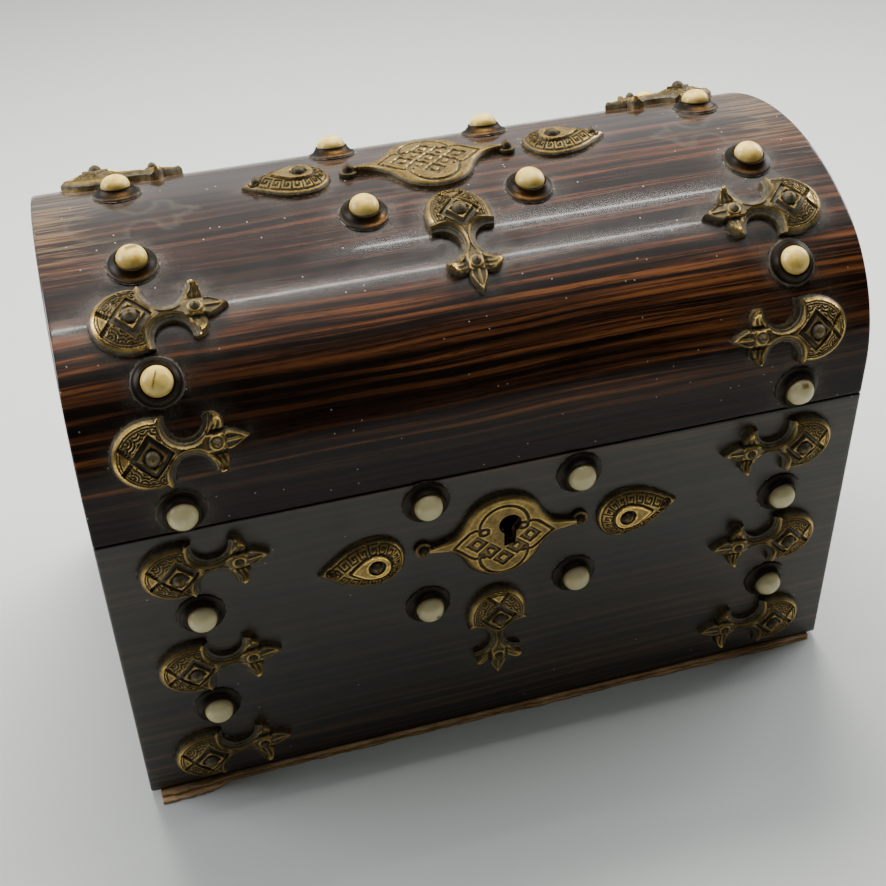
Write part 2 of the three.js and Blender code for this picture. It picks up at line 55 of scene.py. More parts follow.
# Adds a node; inputs are values or links, settings are the node's own properties.
def addNode(tree, kind, inputs=None, **settings):
    node = tree.nodes.new("ShaderNode" + kind)
    for name, value in settings.items():
        setattr(node, name, value)
    for name, value in (inputs or {}).items():
        if isinstance(value, bpy.types.NodeSocket):
            tree.links.new(value, node.inputs[name])
        else:
            node.inputs[name].default_value = value
    return node


# The nodes used most, each giving its output; a colour is a link or sRGB hex

def compute(tree, operation, *values, clamp=False):
    return addNode(tree, "Math", dict(enumerate(values)), operation=operation, use_clamp=clamp).outputs[0]


def spread(tree, value, low, high, least=0.0, most=1.0, curve="LINEAR"):
    inputs = {0: value, 1: low, 2: high, 3: least, 4: most}
    return addNode(tree, "MapRange", inputs, interpolation_type=curve).outputs[0]


def blend(tree, share, under, over, how="MIX"):
    under, over = [linear(tone) if isinstance(tone, str) else tone for tone in (under, over)]
    return addNode(tree, "Mix", {0: share, 6: under, 7: over}, data_type="RGBA", blend_type=how).outputs[2]


def ramp(tree, share, stops):
    node = addNode(tree, "ValToRGB", {0: share})
    elements = node.color_ramp.elements
    for place, tone in stops[1:-1]:
        elements.new(place)
    elements[0].position, elements[-1].position = stops[0][0], stops[-1][0]
    for element, (place, tone) in zip(elements, stops):
        element.color = linear(tone) if isinstance(tone, str) else tone
    return node.outputs[0]


def noise(tree, where, size, detail, roughness=0.5, dimensions="3D"):
    return addNode(tree, "TexNoise", {
        "Vector": where, "Scale": perMetre / size, "Detail": detail, "Roughness": roughness},
        noise_dimensions=dimensions).outputs[0]


def stretched(tree, where, factors):
    return addNode(tree, "VectorMath", {0: where, 1: factors}, operation="MULTIPLY").outputs[0]


def bump(tree, strength, distance, height, **more):
    return addNode(tree, "Bump", {
        "Strength": strength, "Distance": distance * mm, "Height": height, **more}).outputs[0]


def finishChannels(tree):
    colour = addNode(tree, "Attribute", attribute_name="finish").outputs["Color"]
    return addNode(tree, "SeparateColor", {0: colour}).outputs[:3]


def grainPlace(tree):
    return addNode(tree, "UVMap", uv_map="grain").outputs[0]


def objectPlace(tree):
    return addNode(tree, "TexCoord").outputs["Object"]


def newMaterial(name):
    material = bpy.data.materials.new(name)
    material.use_nodes = True
    material.node_tree.nodes.clear()
    return material, material.node_tree


def shaded(material, inputs):
    surface = addNode(material.node_tree, "BsdfPrincipled", inputs).outputs[0]
    addNode(material.node_tree, "OutputMaterial", {0: surface})
    return material


def smooth(low, high, value):
    t = np.clip((value - low) / (high - low), 0, 1)
    return t * t * (3 - 2 * t)


# 1 on a line of the given half width, falling to 0 over the soft edge
def lineAt(distance, halfWidth, soft=0.18):
    return 1 - smooth(halfWidth, halfWidth + soft, np.abs(distance))


def addObject(name, data):
    thing = bpy.data.objects.new(name, data)
    bpy.context.scene.collection.objects.link(thing)
    return thing


# Makes a mesh object from millimetre points; finish is one colour per point.
def makePiece(name, points, faces, body, materials, faceMaterials=None, finish=None, sharpAngle=40):
    mesh = bpy.data.meshes.new(name)
    mesh.from_pydata((np.asarray(points) * mm).tolist(), [], faces)
    for material in materials:
        mesh.materials.append(material)
    if faceMaterials is not None:
        mesh.polygons.foreach_set("material_index", np.asarray(faceMaterials, dtype=np.int32))
    if finish is not None:
        layer = mesh.color_attributes.new(name="finish", type="FLOAT_COLOR", domain="POINT")
        layer.data.foreach_set("color", np.column_stack([finish, np.ones(len(points))]).ravel())
    mesh.update()
    mesh.shade_smooth()
    mesh.set_sharp_from_angle(angle=math.radians(sharpAngle))
    piece = addObject(name, mesh)
    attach(piece, body)
    return piece


# The box's shape, as the solids have it
boxShape = {
    "halfWidth": 115.0,
    "halfDepth": 67.15,
    "caseBottom": 2.3,
    "seamHeight": 103.1,
    "lidBottom": 103.5,
    "bandHeight": 10.3,
    "shoulderRadius": 46.7,
    "crownLift": 5.6,
    "wall": 8.0,
    "floor": 6.0,
    "seatGap": 0.3,  # between the wood and the underside of each mount
}
springHeight = boxShape["lidBottom"] + boxShape["bandHeight"]
shoulderCentre = boxShape["halfDepth"] - boxShape["shoulderRadius"]
lidRise = boxShape["shoulderRadius"] + boxShape["crownLift"]
crownRadius = (shoulderCentre ** 2 + lidRise ** 2 - boxShape["shoulderRadius"] ** 2) / (2 * boxShape["crownLift"])
crownCentreHeight = springHeight + lidRise - crownRadius
crownHalfAngle = math.atan2(shoulderCentre, crownRadius - lidRise)
crownRun = crownRadius * crownHalfAngle
shoulderRun = boxShape["shoulderRadius"] * (math.pi / 2 - crownHalfAngle)
archLength = 2 * (boxShape["bandHeight"] + shoulderRun + crownRun)


# Points over the lid by length along the arch from the front seam, lifted outward
def archPoint(length, lift):
    fromCrest = np.asarray(length, dtype=float) - archLength / 2
    side = np.where(fromCrest < 0, -1.0, 1.0)
    run = np.abs(fromCrest)
    onCrown = run <= crownRun
    angle = np.where(onCrown, run / crownRadius, crownHalfAngle + (run - crownRun) / boxShape["shoulderRadius"])
    angle = np.minimum(angle, math.pi / 2)
    radius = np.where(onCrown, crownRadius, boxShape["shoulderRadius"]) + lift
    y = np.where(onCrown, 0, shoulderCentre) + radius * np.sin(angle)
    z = np.where(onCrown, crownCentreHeight, springHeight) + radius * np.cos(angle)
    z = z - np.maximum(run - crownRun - shoulderRun, 0)
    return side * y, z


# Seats flat work (across, up, height) on the case front or the lid
def seat(points, body, x, along, turn):
    angle = math.radians(turn)
    across = x + points[:, 0] * math.cos(angle) - points[:, 1] * math.sin(angle)
    up = along + points[:, 0] * math.sin(angle) + points[:, 1] * math.cos(angle)
    lift = points[:, 2] + boxShape["seatGap"]
    if body == "lid":
        y, z = archPoint(up, lift)
    else:
        y, z = -boxShape["halfDepth"] - lift, boxShape["seamHeight"] + up
    return np.stack([across, y, z], axis=1)


# How far each piece sits across and up (or back over the arch) from its even place
placeShifts = {
    "strap_mount_case_left_1": (0.8, 0),
    "strap_mount_case_left_2": (0.5, 0),
    "strap_mount_case_right_3": (-0.6, 1.2),
    "strap_mount_lid_left_2": (1.3, -2.3),
    "strap_mount_lid_right_2": (0.5, -0.5),
    "fan_mount_case": (-1.9, 0.9),
    "fan_mount_lid": (0.4, -2.7),
    "stud_case_left_1": (0.7, 0.8),
    "stud_case_left_2": (0.7, 0.4),
    "stud_case_right_1": (0.5, -0.6),
    "stud_case_right_2": (0.5, 0),
    "stud_case_centre_left_1": (0.7, 0.4),
    "stud_case_centre_right_1": (0.4, -0.3),
    "stud_case_centre_left_2": (0, -0.3),
    "stud_case_centre_right_2": (0, -0.8),
    "stud_lid_left_1": (0.5, 0.1),
    "stud_lid_left_2": (0.5, -0.8),
    "stud_lid_left_3": (0.5, -2),
    "stud_lid_left_4": (0.5, -0.5),
    "stud_lid_right_1": (1, 0.2),
    "stud_lid_right_2": (1, 0.9),
    "stud_lid_right_3": (1, 0.3),
    "stud_lid_right_4": (1, -0.5),
    "stud_lid_centre_left_1": (-0.4, -0.6),
    "stud_lid_centre_right_1": (0, -0.3),
}
mountSpots = []  # each mount as placed: (body, x, along, turn, outline, share of wax round it)


# Camera at the photograph's angle
cameraView = {
    "position": (-96.53, -355.26, 341.93),
    "heading": 15.41,  # degrees, turned toward the right end
    "tilt": 37.12,  # degrees below the horizon
    "roll": 1.79,
    "lens": 54.99,
    "sensor": 36.0,
    "nearest": 10,
}
cameraData = bpy.data.cameras.new("camera")
cameraData.lens = cameraView["lens"]
cameraData.sensor_width = cameraView["sensor"]
cameraData.clip_start = cameraView["nearest"] * mm
camera = addObject("camera", cameraData)
cameraPlace = Matrix.Translation([value * mm for value in cameraView["position"]])
for axis, degrees in (("Z", -cameraView["heading"]), ("X", 90 - cameraView["tilt"]), ("Z", -cameraView["roll"])):
    cameraPlace = cameraPlace @ Matrix.Rotation(math.radians(degrees), 4, axis)
camera.matrix_world = cameraPlace
bpy.context.scene.camera = camera

# Pale floor and soft light
stageLook = {
    "floorColour": "#c3c7c3",
    "floorHalf": 1500,
    "skyColour": "#e8eef0", "skyStrength": 1.05,  # the white tent above and behind
    "roomColour": "#8c8177", "roomStrength": 0.03,  # the dim room in front
    "skyLean": 0.75, "skyFrom": 0.1, "skyFull": 1.05,  # where the room gives way to the tent
}
lamps = {
    # name: (position mm, aim mm, width mm, depth mm, watts, colour)
    "overhead": ((40, 330, 640), (0, 20, 120), 560, 240, 12.5, "#fffaf2"),
    "leftTent": ((-640, 150, 400), (0, 0, 100), 380, 380, 3.4, "#f6f7ff"),
    "rightTent": ((640, 190, 420), (0, 0, 100), 380, 380, 3.2, "#f6f7ff"),
    "stripNear": ((40, -14, 620), (40, 0, 130), 520, 9, 0.5, "#fffdf6"),
    "stripBack": ((190, 130, 640), (190, 150, 130), 260, 9, 0.3, "#fffdf6"),
}
half = stageLook["floorHalf"] * mm
floorMesh = bpy.data.meshes.new("floor")
floorMesh.from_pydata([(-half, -half, 0), (half, -half, 0), (half, half, 0), (-half, half, 0)], [], [(0, 1, 2, 3)])
floorMesh.materials.append(shaded(newMaterial("matt white table")[0], {  # a plain pale sheet
    "Base Color": linear(stageLook["floorColour"]), "Roughness": 0.7, "Specular IOR Level": 0.3}))
addObject("floor", floorMesh)

world = bpy.data.worlds.new("softRoom")
bpy.context.scene.world = world
world.use_nodes = True
sky = world.node_tree
toward = addNode(sky, "SeparateXYZ", {0: addNode(sky, "TexCoord").outputs["Generated"]}).outputs
upAndBack = compute(sky, "MULTIPLY_ADD", toward[1], stageLook["skyLean"], toward[2])
skyShare = spread(sky, upAndBack, stageLook["skyFrom"], stageLook["skyFull"], curve="SMOOTHSTEP")
skyTone = blend(sky, skyShare, stageLook["roomColour"], stageLook["skyColour"])
skyLevel = spread(sky, skyShare, 0.0, 1.0, stageLook["roomStrength"], stageLook["skyStrength"])
sky.links.new(skyTone, sky.nodes["Background"].inputs["Color"])
sky.links.new(skyLevel, sky.nodes["Background"].inputs["Strength"])
for lampName, (position, aim, width, depth, watts, colour) in lamps.items():
    lampData = bpy.data.lights.new(lampName, "AREA")
    lampData.shape = "RECTANGLE"
    lampData.size, lampData.size_y = width * mm, depth * mm
    lampData.energy = watts
    lampData.color = linear(colour)[:3]
    lamp = addObject(lampName, lampData)
    start = np.array(position) * mm
    away = start - np.array(aim) * mm
    lamp.rotation_euler = (
        math.acos(away[2] / np.linalg.norm(away)), 0, math.atan2(away[1], away[0]) + math.pi / 2)
    lamp.location = start.tolist()
    lamp.visible_glossy = lampName != "overhead"  # the key lights the wood without a mirror image
print("camera, floor and light stand")


# Materials

# Coromandel veneer, knife-cut and French polished: near-black with orange-brown stripes along the
# grain, glossy under a thin grey bloom, with dry straw flecks where the polish has gone.
def coromandelVeneer(name, look):
    material, tree = newMaterial(name)
    uv = grainPlace(tree)
    u, v = addNode(tree, "SeparateXYZ", {0: uv}).outputs[:2]
    waves = stretched(tree, uv, (perMetre / look["waveLength"], perMetre / look["waveWidth"], 0))
    drift = noise(tree, waves, perMetre, 2.0, dimensions="2D")
    bend = compute(tree, "MULTIPLY_ADD", drift, look["waveDepth"] * mm, v)
    grains = {}
    for grainName, (alongMm, acrossMm, detail, shift) in look["grains"].items():
        place = addNode(tree, "CombineXYZ", {
            0: compute(tree, "MULTIPLY_ADD", u, perMetre / alongMm, shift),
            1: compute(tree, "MULTIPLY", bend, perMetre / acrossMm), 2: shift}).outputs[0]
        grains[grainName] = noise(tree, place, perMetre, detail, 0.6)

    # where along the arch (or up the case) the stripes show and the polish shines, by v in millimetres
    reach = look["zoneReach"]
    zone = ramp(tree, compute(tree, "MULTIPLY", v, perMetre / reach), [
        (at / reach, (share, share, share, 1)) for at, share in look["stripeZones"]])
    sheen = spread(tree, v, look["dullBelow"] * mm, look["shinyAbove"] * mm, look["leastSheen"], 1.0, "SMOOTHSTEP")
    lively = compute(tree, "MULTIPLY", spread(tree, grains["broad"], 0.3, 0.55, 0.5, 1.0), zone)
    stripes = compute(tree, "MULTIPLY_ADD", grains["fibre"], 0.2, grains["stripe"])
    stripeShare = compute(
        tree, "MULTIPLY", spread(tree, stripes, look["stripeStart"], look["stripeFull"]), lively)
    heart = ramp(tree, stripeShare, [
        (0.0, look["black"]), (0.35, look["umber"]), (0.7, look["russet"]), (1.0, look["orange"])])
    pores = spread(tree, grains["pore"], 0.3, 0.42, 0.35, 1.0)
    poreTone = addNode(tree, "CombineColor", {0: pores, 1: pores, 2: pores}).outputs[0]
    tone = blend(tree, 0.8, heart, poreTone, "MULTIPLY")

    # the finish layer holds residue, dryness and ghost marks, one to a channel
    residue, dryness, ghost = finishChannels(tree)
    fleck = compute(tree, "ADD", compute(tree, "MULTIPLY", dryness, 0.3), grains["fleck"])
    fleckShare = compute(
        tree, "MULTIPLY", spread(tree, fleck, 0.74, 0.88), compute(tree, "MULTIPLY", dryness, 0.6))
    tone = blend(tree, fleckShare, tone, look["straw"])
    mottle = noise(tree, uv, 9, 6.0, 0.7)
    bloom = compute(
        tree, "MULTIPLY", spread(tree, mottle, 0.3, 0.75),
        compute(tree, "MULTIPLY_ADD", residue, 1.1, look["haze"]))
    tone = blend(tree, bloom, tone, look["bloom"])
    tone = blend(tree, compute(tree, "MULTIPLY", ghost, 0.3), tone, look["ghost"])

    # dust: a sparse scatter of pale specks about a third of a millimetre across
    cells = addNode(tree, "TexVoronoi", {"Vector": uv, "Scale": perMetre / 2.6}, voronoi_dimensions="2D").outputs
    picked = compute(
        tree, "GREATER_THAN", addNode(tree, "SeparateColor", {0: cells["Color"]}).outputs[0], look["dustAbove"])
    dust = compute(tree, "MULTIPLY", spread(tree, cells["Distance"], 0.1, 0.05), picked)

    roughness = compute(
        tree, "ADD", spread(tree, mottle, 0.3, 0.7, look["gloss"], look["gloss"] + 0.1),
        compute(tree, "MULTIPLY", bloom, 0.4))
    fine = bump(tree, 0.12, 0.05, compute(tree, "MULTIPLY_ADD", grains["pore"], 0.35, grains["fibre"]))
    return shaded(material, {
        "Base Color": blend(tree, dust, tone, look["dust"]), "Roughness": roughness, "IOR": 1.5,
        "Normal": bump(tree, 0.25, 0.4, noise(tree, uv, 24, 2.0), Normal=fine),
        "Specular IOR Level": compute(tree, "MULTIPLY", sheen, 0.5),
        "Coat Weight": compute(tree, "MULTIPLY", sheen, look["coat"]),
        "Coat Roughness": look["coatRoughness"], "Coat IOR": 1.5})


veneerLook = {
    "waveLength": 120, "waveWidth": 26, "waveDepth": 4.0, "zoneReach": 220,
    # name: (length along the grain mm, width across it mm, detail, shift)
    "grains": {
        "stripe": (160, 2.1, 3.0, 0.0),
        "broad": (150, 21, 1.0, 3.1),
        "fibre": (22, 0.45, 3.0, 7.7),
        "pore": (5, 0.35, 1.0, 12.3),
        "fleck": (26, 1.1, 3.0, 17.9),
    },
    "stripeStart": 0.5, "stripeFull": 0.72,
    "black": "#150e0a", "umber": "#2c1a11", "russet": "#53311d", "orange": "#7e4d2a",
    "straw": "#7d6343", "bloom": "#5f5850", "ghost": "#544c41", "dust": "#a8a193",
    "dustAbove": 0.965, "haze": 0.03, "gloss": 0.13, "coat": 0.3, "coatRoughness": 0.05,
    "dullBelow": 5, "shinyAbove": 55, "leastSheen": 0.2,  # hands have dulled the polish near the seam
}
lidVeneer = coromandelVeneer("coromandel veneer, lid", dict(veneerLook, stripeZones=[
    (0, 0.35), (12, 0.45), (18, 1.0), (56, 1.0), (72, 0.75), (100, 0.6), (140, 0.8), (205, 0.5)]))
caseLook = dict(
    veneerLook, black="#1b180f", umber="#2e2417", russet="#4b3420", orange="#66422a", haze=0.05, gloss=0.34,
    coat=0.0, leastSheen=1.0, dustAbove=0.99,
    stripeZones=[(0, 0.8), (25, 0.75), (45, 0.5), (70, 0.6), (95, 0.5), (103, 0.8)])
caseVeneer = coromandelVeneer("coromandel veneer, case", caseLook)
endVeneer = coromandelVeneer("coromandel veneer, ends", dict(caseLook, dustAbove=0.995))


# Plain sawn rosewood inside and on the rims: red-brown, dull, with close straight grain.
def plainRosewood():
    material, tree = newMaterial("plain rosewood, sawn")
    grain = noise(tree, stretched(tree, grainPlace(tree), (perMetre / 60, perMetre / 1.6, 1)), perMetre, 5.0, 0.65)
    return shaded(material, {
        "Base Color": ramp(tree, grain, [(0.3, "#2a1710"), (0.55, "#472a1b"), (0.75, "#5c3a26")]),
        "Roughness": 0.62, "IOR": 1.5, "Normal": bump(tree, 0.3, 0.1, grain)})


# Gilt brass, cast, chased and burnished: gold on the high edges, brown-black in the ground, with dried
# polish left in the corners. The finish layer gives bare metal, gilding and residue; the gilding is partly
# painted light: turned down on the case-front mounts as painted shade, and a painted highlight on the collars.
def giltBrass(name, look):
    material, tree = newMaterial(name)
    bare, gilt, residue = finishChannels(tree)
    patches = noise(tree, objectPlace(tree), 3.0, 4.0, 0.65)
    grit = noise(tree, objectPlace(tree), 0.7, 3.0, 0.7)
    bare = compute(tree, "ADD", bare, spread(tree, grit, 0.3, 0.7, -0.2, 0.16), clamp=True)
    gilt = compute(tree, "MULTIPLY", gilt, spread(tree, patches, 0.36, 0.58, 0.25, 1.1), clamp=True)
    residue = compute(tree, "MULTIPLY", residue, spread(tree, patches, 0.35, 0.65, 0.3, 1.2), clamp=True)
    tone = blend(tree, bare, look["patina"], blend(tree, gilt, look["aged"], look["gold"]))
    polish = spread(tree, compute(tree, "MULTIPLY", bare, gilt), 0.0, 1.0, look["dull"], look["bright"])
    return shaded(material, {
        "Base Color": blend(tree, residue, tone, look["residue"]),
        "Roughness": compute(tree, "MULTIPLY_ADD", residue, 0.4, polish, clamp=True),
        "Metallic": compute(
            tree, "MULTIPLY_ADD", residue, -0.75, spread(tree, bare, 0.0, 0.6, 0.55, 1.0), clamp=True),
        "Normal": bump(tree, 0.35, 0.06, grit)})


mountLook = {
    "aged": "#978050", "gold": "#f4ca70", "patina": "#15110b", "residue": "#7c7565",
    "dull": 0.46, "bright": 0.22,
}
# the collars' gold is the tone of a painted copper highlight laid on one side of each collar
collarLook = dict(mountLook, aged="#4f3f2a", gold="#a87a45", patina="#14110d", dull=0.44, bright=0.28)


# Drawn brass on the hinges: evenly yellow and dulled by handling, with no gilding to wear.
def hingeBrass():
    material, tree = newMaterial("drawn brass, dulled")
    tarnish = noise(tree, objectPlace(tree), 6, 5.0, 0.65)
    return shaded(material, {
        "Base Color": ramp(tree, tarnish, [(0.3, "#4d3d22"), (0.5, "#a08450"), (0.75, "#c39a55")]),
        "Roughness": spread(tree, tarnish, 0.3, 0.7, 0.5, 0.3), "Metallic": 1.0})


# Dried polish: the chalky grey line left where the cloth can't reach.
def driedPolish():
    material, tree = newMaterial("dried wax polish")
    crumb = noise(tree, objectPlace(tree), 1.6, 4.0, 0.7)
    return shaded(material, {
        "Base Color": ramp(tree, crumb, [(0.35, "#17120f"), (0.5, "#4b4640"), (0.68, "#8f8b82")]),
        "Roughness": 0.8, "IOR": 1.45})


# Turned and polished bone: warm cream, slightly see-through at the edge, with stains and fine dark
# cracks, and greyer on the case. The finish layer gives stain, crack and grey.
def polishedBone():
    material, tree = newMaterial("bone, turned and polished")
    stain, crack, grey = finishChannels(tree)
    tone = ramp(tree, noise(tree, objectPlace(tree), 4, 3.0, 0.55), [
        (0.3, "#cba74e"), (0.5, "#e9c96a"), (0.7, "#fae18c")])
    for share, over in ((grey, "#c9c4a2"), (stain, "#8c7343"), (crack, "#4a3b22")):
        tone = blend(tree, share, tone, over)
    return shaded(material, {
        "Base Color": tone, "Roughness": 0.22, "IOR": 1.54,
        "Subsurface Weight": 0.25, "Subsurface Radius": (0.8, 0.5, 0.3), "Subsurface Scale": mm})


# Split hide under the case: tan and fuzzy where it is torn, darker and red-brown between the plies.
def tornHide():
    material, tree = newMaterial("split hide, torn")
    where = objectPlace(tree)
    fibres = noise(
        tree, stretched(tree, where, (perMetre / 5, perMetre / 1.2, perMetre / 0.5)), perMetre, 5.0, 0.7)
    tan = ramp(tree, fibres, [(0.28, "#80593a"), (0.42, "#c7a374"), (0.6, "#dfc297"), (0.78, "#f0dcb8")])
    stain = ramp(tree, noise(tree, where, 14, 4.0), [(0.35, "#a08263"), (0.65, "#fff6e8")])
    return shaded(material, {
        "Base Color": blend(tree, 0.6, tan, stain, "MULTIPLY"),
        "Roughness": 0.9, "IOR": 1.45, "Normal": bump(tree, 0.7, 0.3, fibres)})


insideWood = plainRosewood()
mountBrass = giltBrass("gilt brass, cast and chased", mountLook)
collarBrass = giltBrass("bronzed brass, turned", collarLook)
hingeMetal = hingeBrass()
waxLine = driedPolish()
bone = polishedBone()
hide = tornHide()
print("materials are mixed")


# Outlines and relief

def curvePoints(start, pullStart, pullEnd, end, steps):
    t = np.linspace(0, 1, steps + 1)[:, None]
    a, b, c, d = [np.array(p, dtype=float) for p in (start, pullStart, pullEnd, end)]
    return a * (1 - t) ** 3 + 3 * b * t * (1 - t) ** 2 + 3 * c * t ** 2 * (1 - t) + d * t ** 3


def arcPoints(centre, radiusX, radiusY, fromDegrees, toDegrees, steps):
    angle = np.radians(np.linspace(fromDegrees, toDegrees, steps + 1))
    return np.stack([centre[0] + radiusX * np.cos(angle), centre[1] + radiusY * np.sin(angle)], axis=1)


# Closes a half outline with its mirror image below and turns it anticlockwise
def mirrored(*stretches):
    upper = np.concatenate([np.atleast_2d(np.array(stretch, dtype=float)) for stretch in stretches])
    keep = np.r_[True, np.hypot(*(upper[1:] - upper[:-1]).T) > 0.02]
    upper = upper[keep]
    lower = upper[np.abs(upper[:, 1]) > 0.01][::-1] * (1, -1)
    outline = np.concatenate([upper, lower])
    following = np.roll(outline, -1, axis=0)
    area = np.sum(outline[:, 0] * following[:, 1] - following[:, 0] * outline[:, 1])
    return outline if area > 0 else outline[::-1]


# Depth inside an outline (negative outside) and the run along it to the nearest point
def depthInside(x, y, outline):
    best = np.full(x.shape, 1e9)
    run = np.zeros(x.shape)
    inside = np.zeros(x.shape, dtype=bool)
    travelled = 0.0
    for start, end in zip(outline, np.roll(outline, -1, axis=0)):
        dx, dy = end - start
        length = math.hypot(dx, dy)
        t = np.clip(((x - start[0]) * dx + (y - start[1]) * dy) / length ** 2, 0, 1)
        distance = np.hypot(x - start[0] - t * dx, y - start[1] - t * dy)
        nearer = distance < best
        best = np.where(nearer, distance, best)
        run = np.where(nearer, travelled + t * length, run)
        if dy != 0:
            crossing = (start[1] > y) != (end[1] > y)
            inside ^= crossing & (x < start[0] + (y - start[1]) * dx / dy)
        travelled += length
    return np.where(inside, best, -best), run


# A height field blurred over the given radius, in steps
def softened(values, radius):
    weights = {offset: math.exp(-2.0 * (offset / radius) ** 2) for offset in range(-radius, radius + 1)}
    for axis in (0, 1):
        total = sum(weight * np.roll(values, offset, axis=axis) for offset, weight in weights.items())
        values = total / sum(weights.values())
    return values


# Every casting is a fine height field inside its outline
castLook = {
    "step": 0.2,
    "softRadius": 0.75, "bareRise": 0.17, "bareLevel": 0.4,  # metal is bare where it stands above its surroundings
    "footSpread": 0.08, "footLift": 0.05, "wallBare": 0.62, "wallGilt": 0.9,
    "brimWidth": 0.55, "brimLift": 0.03,
}


# Builds a casting, with walls and a skirt of dried polish.
# heightOf and giltOf take (x, y, depth, run). Returns points, faces, face materials and finish.
def relief(outline, heightOf, giltOf, holes=()):
    step = castLook["step"]
    low, high = outline.min(axis=0) - 2 * step, outline.max(axis=0) + 3 * step
    xs, ys = np.arange(low[0], high[0], step), np.arange(low[1], high[1], step)
    gridX, gridY = np.meshgrid(xs, ys, indexing="ij")
    depth, run = depthInside(gridX, gridY, outline)
    height = heightOf(gridX, gridY, np.maximum(depth, 0), run)
    filled = np.where(depth > -step, height, height[depth > 0].mean())
    raised = filled - softened(filled, round(castLook["softRadius"] / step))
    gilt = giltOf(gridX, gridY, np.maximum(depth, 0), run)
    for hole in holes:
        holeDepth, _ = depthInside(gridX, gridY, hole)
        depth = np.minimum(depth, -holeDepth)

    ids = np.arange(gridX.size).reshape(gridX.shape)
    a, b, c, d = [part.ravel() for part in (ids[:-1, :-1], ids[1:, :-1], ids[1:, 1:], ids[:-1, 1:])]
    triangles = np.concatenate([np.stack([a, b, c], 1), np.stack([a, c, d], 1)])
    flat = {"x": gridX.ravel(), "y": gridY.ravel(), "depth": depth.ravel(),
            "height": height.ravel(), "raised": raised.ravel(), "gilt": gilt.ravel()}
    within = flat["depth"][triangles] > 0
    whole = triangles[within.all(axis=1)]
    # a triangle that the outline cuts keeps its one corner inside, or its two as a pair of triangles
    cutOnes = triangles[within.any(axis=1) & ~within.all(axis=1)]
    cutWithin = flat["depth"][cutOnes] > 0
    single = cutWithin.sum(axis=1) == 1
    odd = np.where(single, np.argmax(cutWithin, axis=1), np.argmin(cutWithin, axis=1))
    rows = np.arange(len(cutOnes))
    p, q, r = cutOnes[rows, odd], cutOnes[rows, (odd + 1) % 3], cutOnes[rows, (odd + 2) % 3]
    size = gridX.size
    keys = np.concatenate([np.minimum(p, end) * size + np.maximum(p, end) for end in (q, r)])
    unique, inverse = np.unique(keys, return_inverse=True)
    one, two = unique // size, unique % size
    share = flat["depth"][one] / (flat["depth"][one] - flat["depth"][two])
    edge = {name: values[one] + (values[two] - values[one]) * share for name, values in flat.items()}
    merged = {name: np.concatenate([flat[name], edge[name]]) for name in flat}
    pq, pr = size + inverse[:len(p)], size + inverse[len(p):]
    top = np.concatenate([
        whole, np.stack([p, pq, pr], 1)[single], np.stack([pq, q, r], 1)[~single],
        np.stack([pq, r, pr], 1)[~single]])
    rim = np.concatenate([np.stack([pq, pr], 1)[single], np.stack([pr, pq], 1)[~single]])

    used, packed = np.unique(np.concatenate([top.ravel(), rim.ravel()]), return_inverse=True)
    top = packed[:top.size].reshape(-1, 3)
    rim = packed[top.size:].reshape(-1, 2)
    points = np.stack([merged[name][used] for name in ("x", "y", "height")], axis=1)
    bare = np.clip(castLook["bareLevel"] + merged["raised"][used] / castLook["bareRise"], 0, 1)
    finish = np.stack([bare, np.clip(merged["gilt"][used], 0, 1), np.zeros(len(used))], axis=1)

    # walls straight down from the rim, and the skirt outside their foot
    rimIds, rimInverse = np.unique(rim, return_inverse=True)
    rimInverse = rimInverse.reshape(rim.shape)
    normals = np.zeros((len(rimIds), 2))
    span = points[rim[:, 1], :2] - points[rim[:, 0], :2]
    outward = np.stack([span[:, 1], -span[:, 0]], axis=1)
    np.add.at(normals, rimInverse[:, 0], outward)
    np.add.at(normals, rimInverse[:, 1], outward)
    normals /= np.maximum(np.hypot(*normals.T), 1e-9)[:, None]
    foot = points[rimIds].copy()
    foot[:, :2] += normals * castLook["footSpread"]
    foot[:, 2] = castLook["footLift"] - boxShape["seatGap"]
    ragged = 0.55 + 0.45 * np.sin(foot[:, 0] * 2.1 + foot[:, 1] * 1.3) * np.sin(foot[:, 1] * 2.9)
    brim = foot.copy()
    brim[:, :2] += normals * castLook["brimWidth"] * ragged[:, None]
    brim[:, 2] = castLook["brimLift"] - boxShape["seatGap"]
    base = len(points)
    lowA, lowB = base + rimInverse[:, 0], base + rimInverse[:, 1]
    outA, outB = lowA + len(foot), lowB + len(foot)
    walls = np.stack([rim[:, 0], lowA, lowB, rim[:, 1]], axis=1)
    brims = np.stack([lowA, outA, outB, lowB], axis=1)
    wallFinish = finish[rimIds] * (0, castLook["wallGilt"], 0) + (castLook["wallBare"], 0, 0)
    points = np.concatenate([points, foot, brim])
    finish = np.concatenate([finish, wallFinish, wallFinish])
    faces = top.tolist() + walls.tolist() + brims.tolist()
    faceMaterials = [0] * (len(top) + len(walls)) + [1] * len(brims)
    return points, faces, faceMaterials, finish


# Quads between closed rings of points that follow one another
def ringFaces(rings, count):
    return [[k * count + i, k * count + (i + 1) % count, (k + 1) * count + (i + 1) % count, (k + 1) * count + i]
            for k in range(rings - 1) for i in range(count)]


# A round piece on the local Z axis from a profile of (radius, height), closed at the top if it ends at 0
def turned(profile, sides, x=0.0):
    angle = np.linspace(0, 2 * math.pi, sides, endpoint=False)
    rings = [np.stack([x + r * np.cos(angle), r * np.sin(angle), np.full(sides, z)], 1) for r, z in profile]
    if profile[-1][0] > 0:
        return np.concatenate(rings), ringFaces(len(profile), sides)
    tip = (len(profile) - 1) * sides
    faces = ringFaces(len(profile) - 1, sides)
    faces += [[tip - sides + i, tip - sides + (i + 1) % sides, tip] for i in range(sides)]
    return np.concatenate(rings[:-1] + [np.array([[x, 0.0, profile[-1][1]]])]), faces


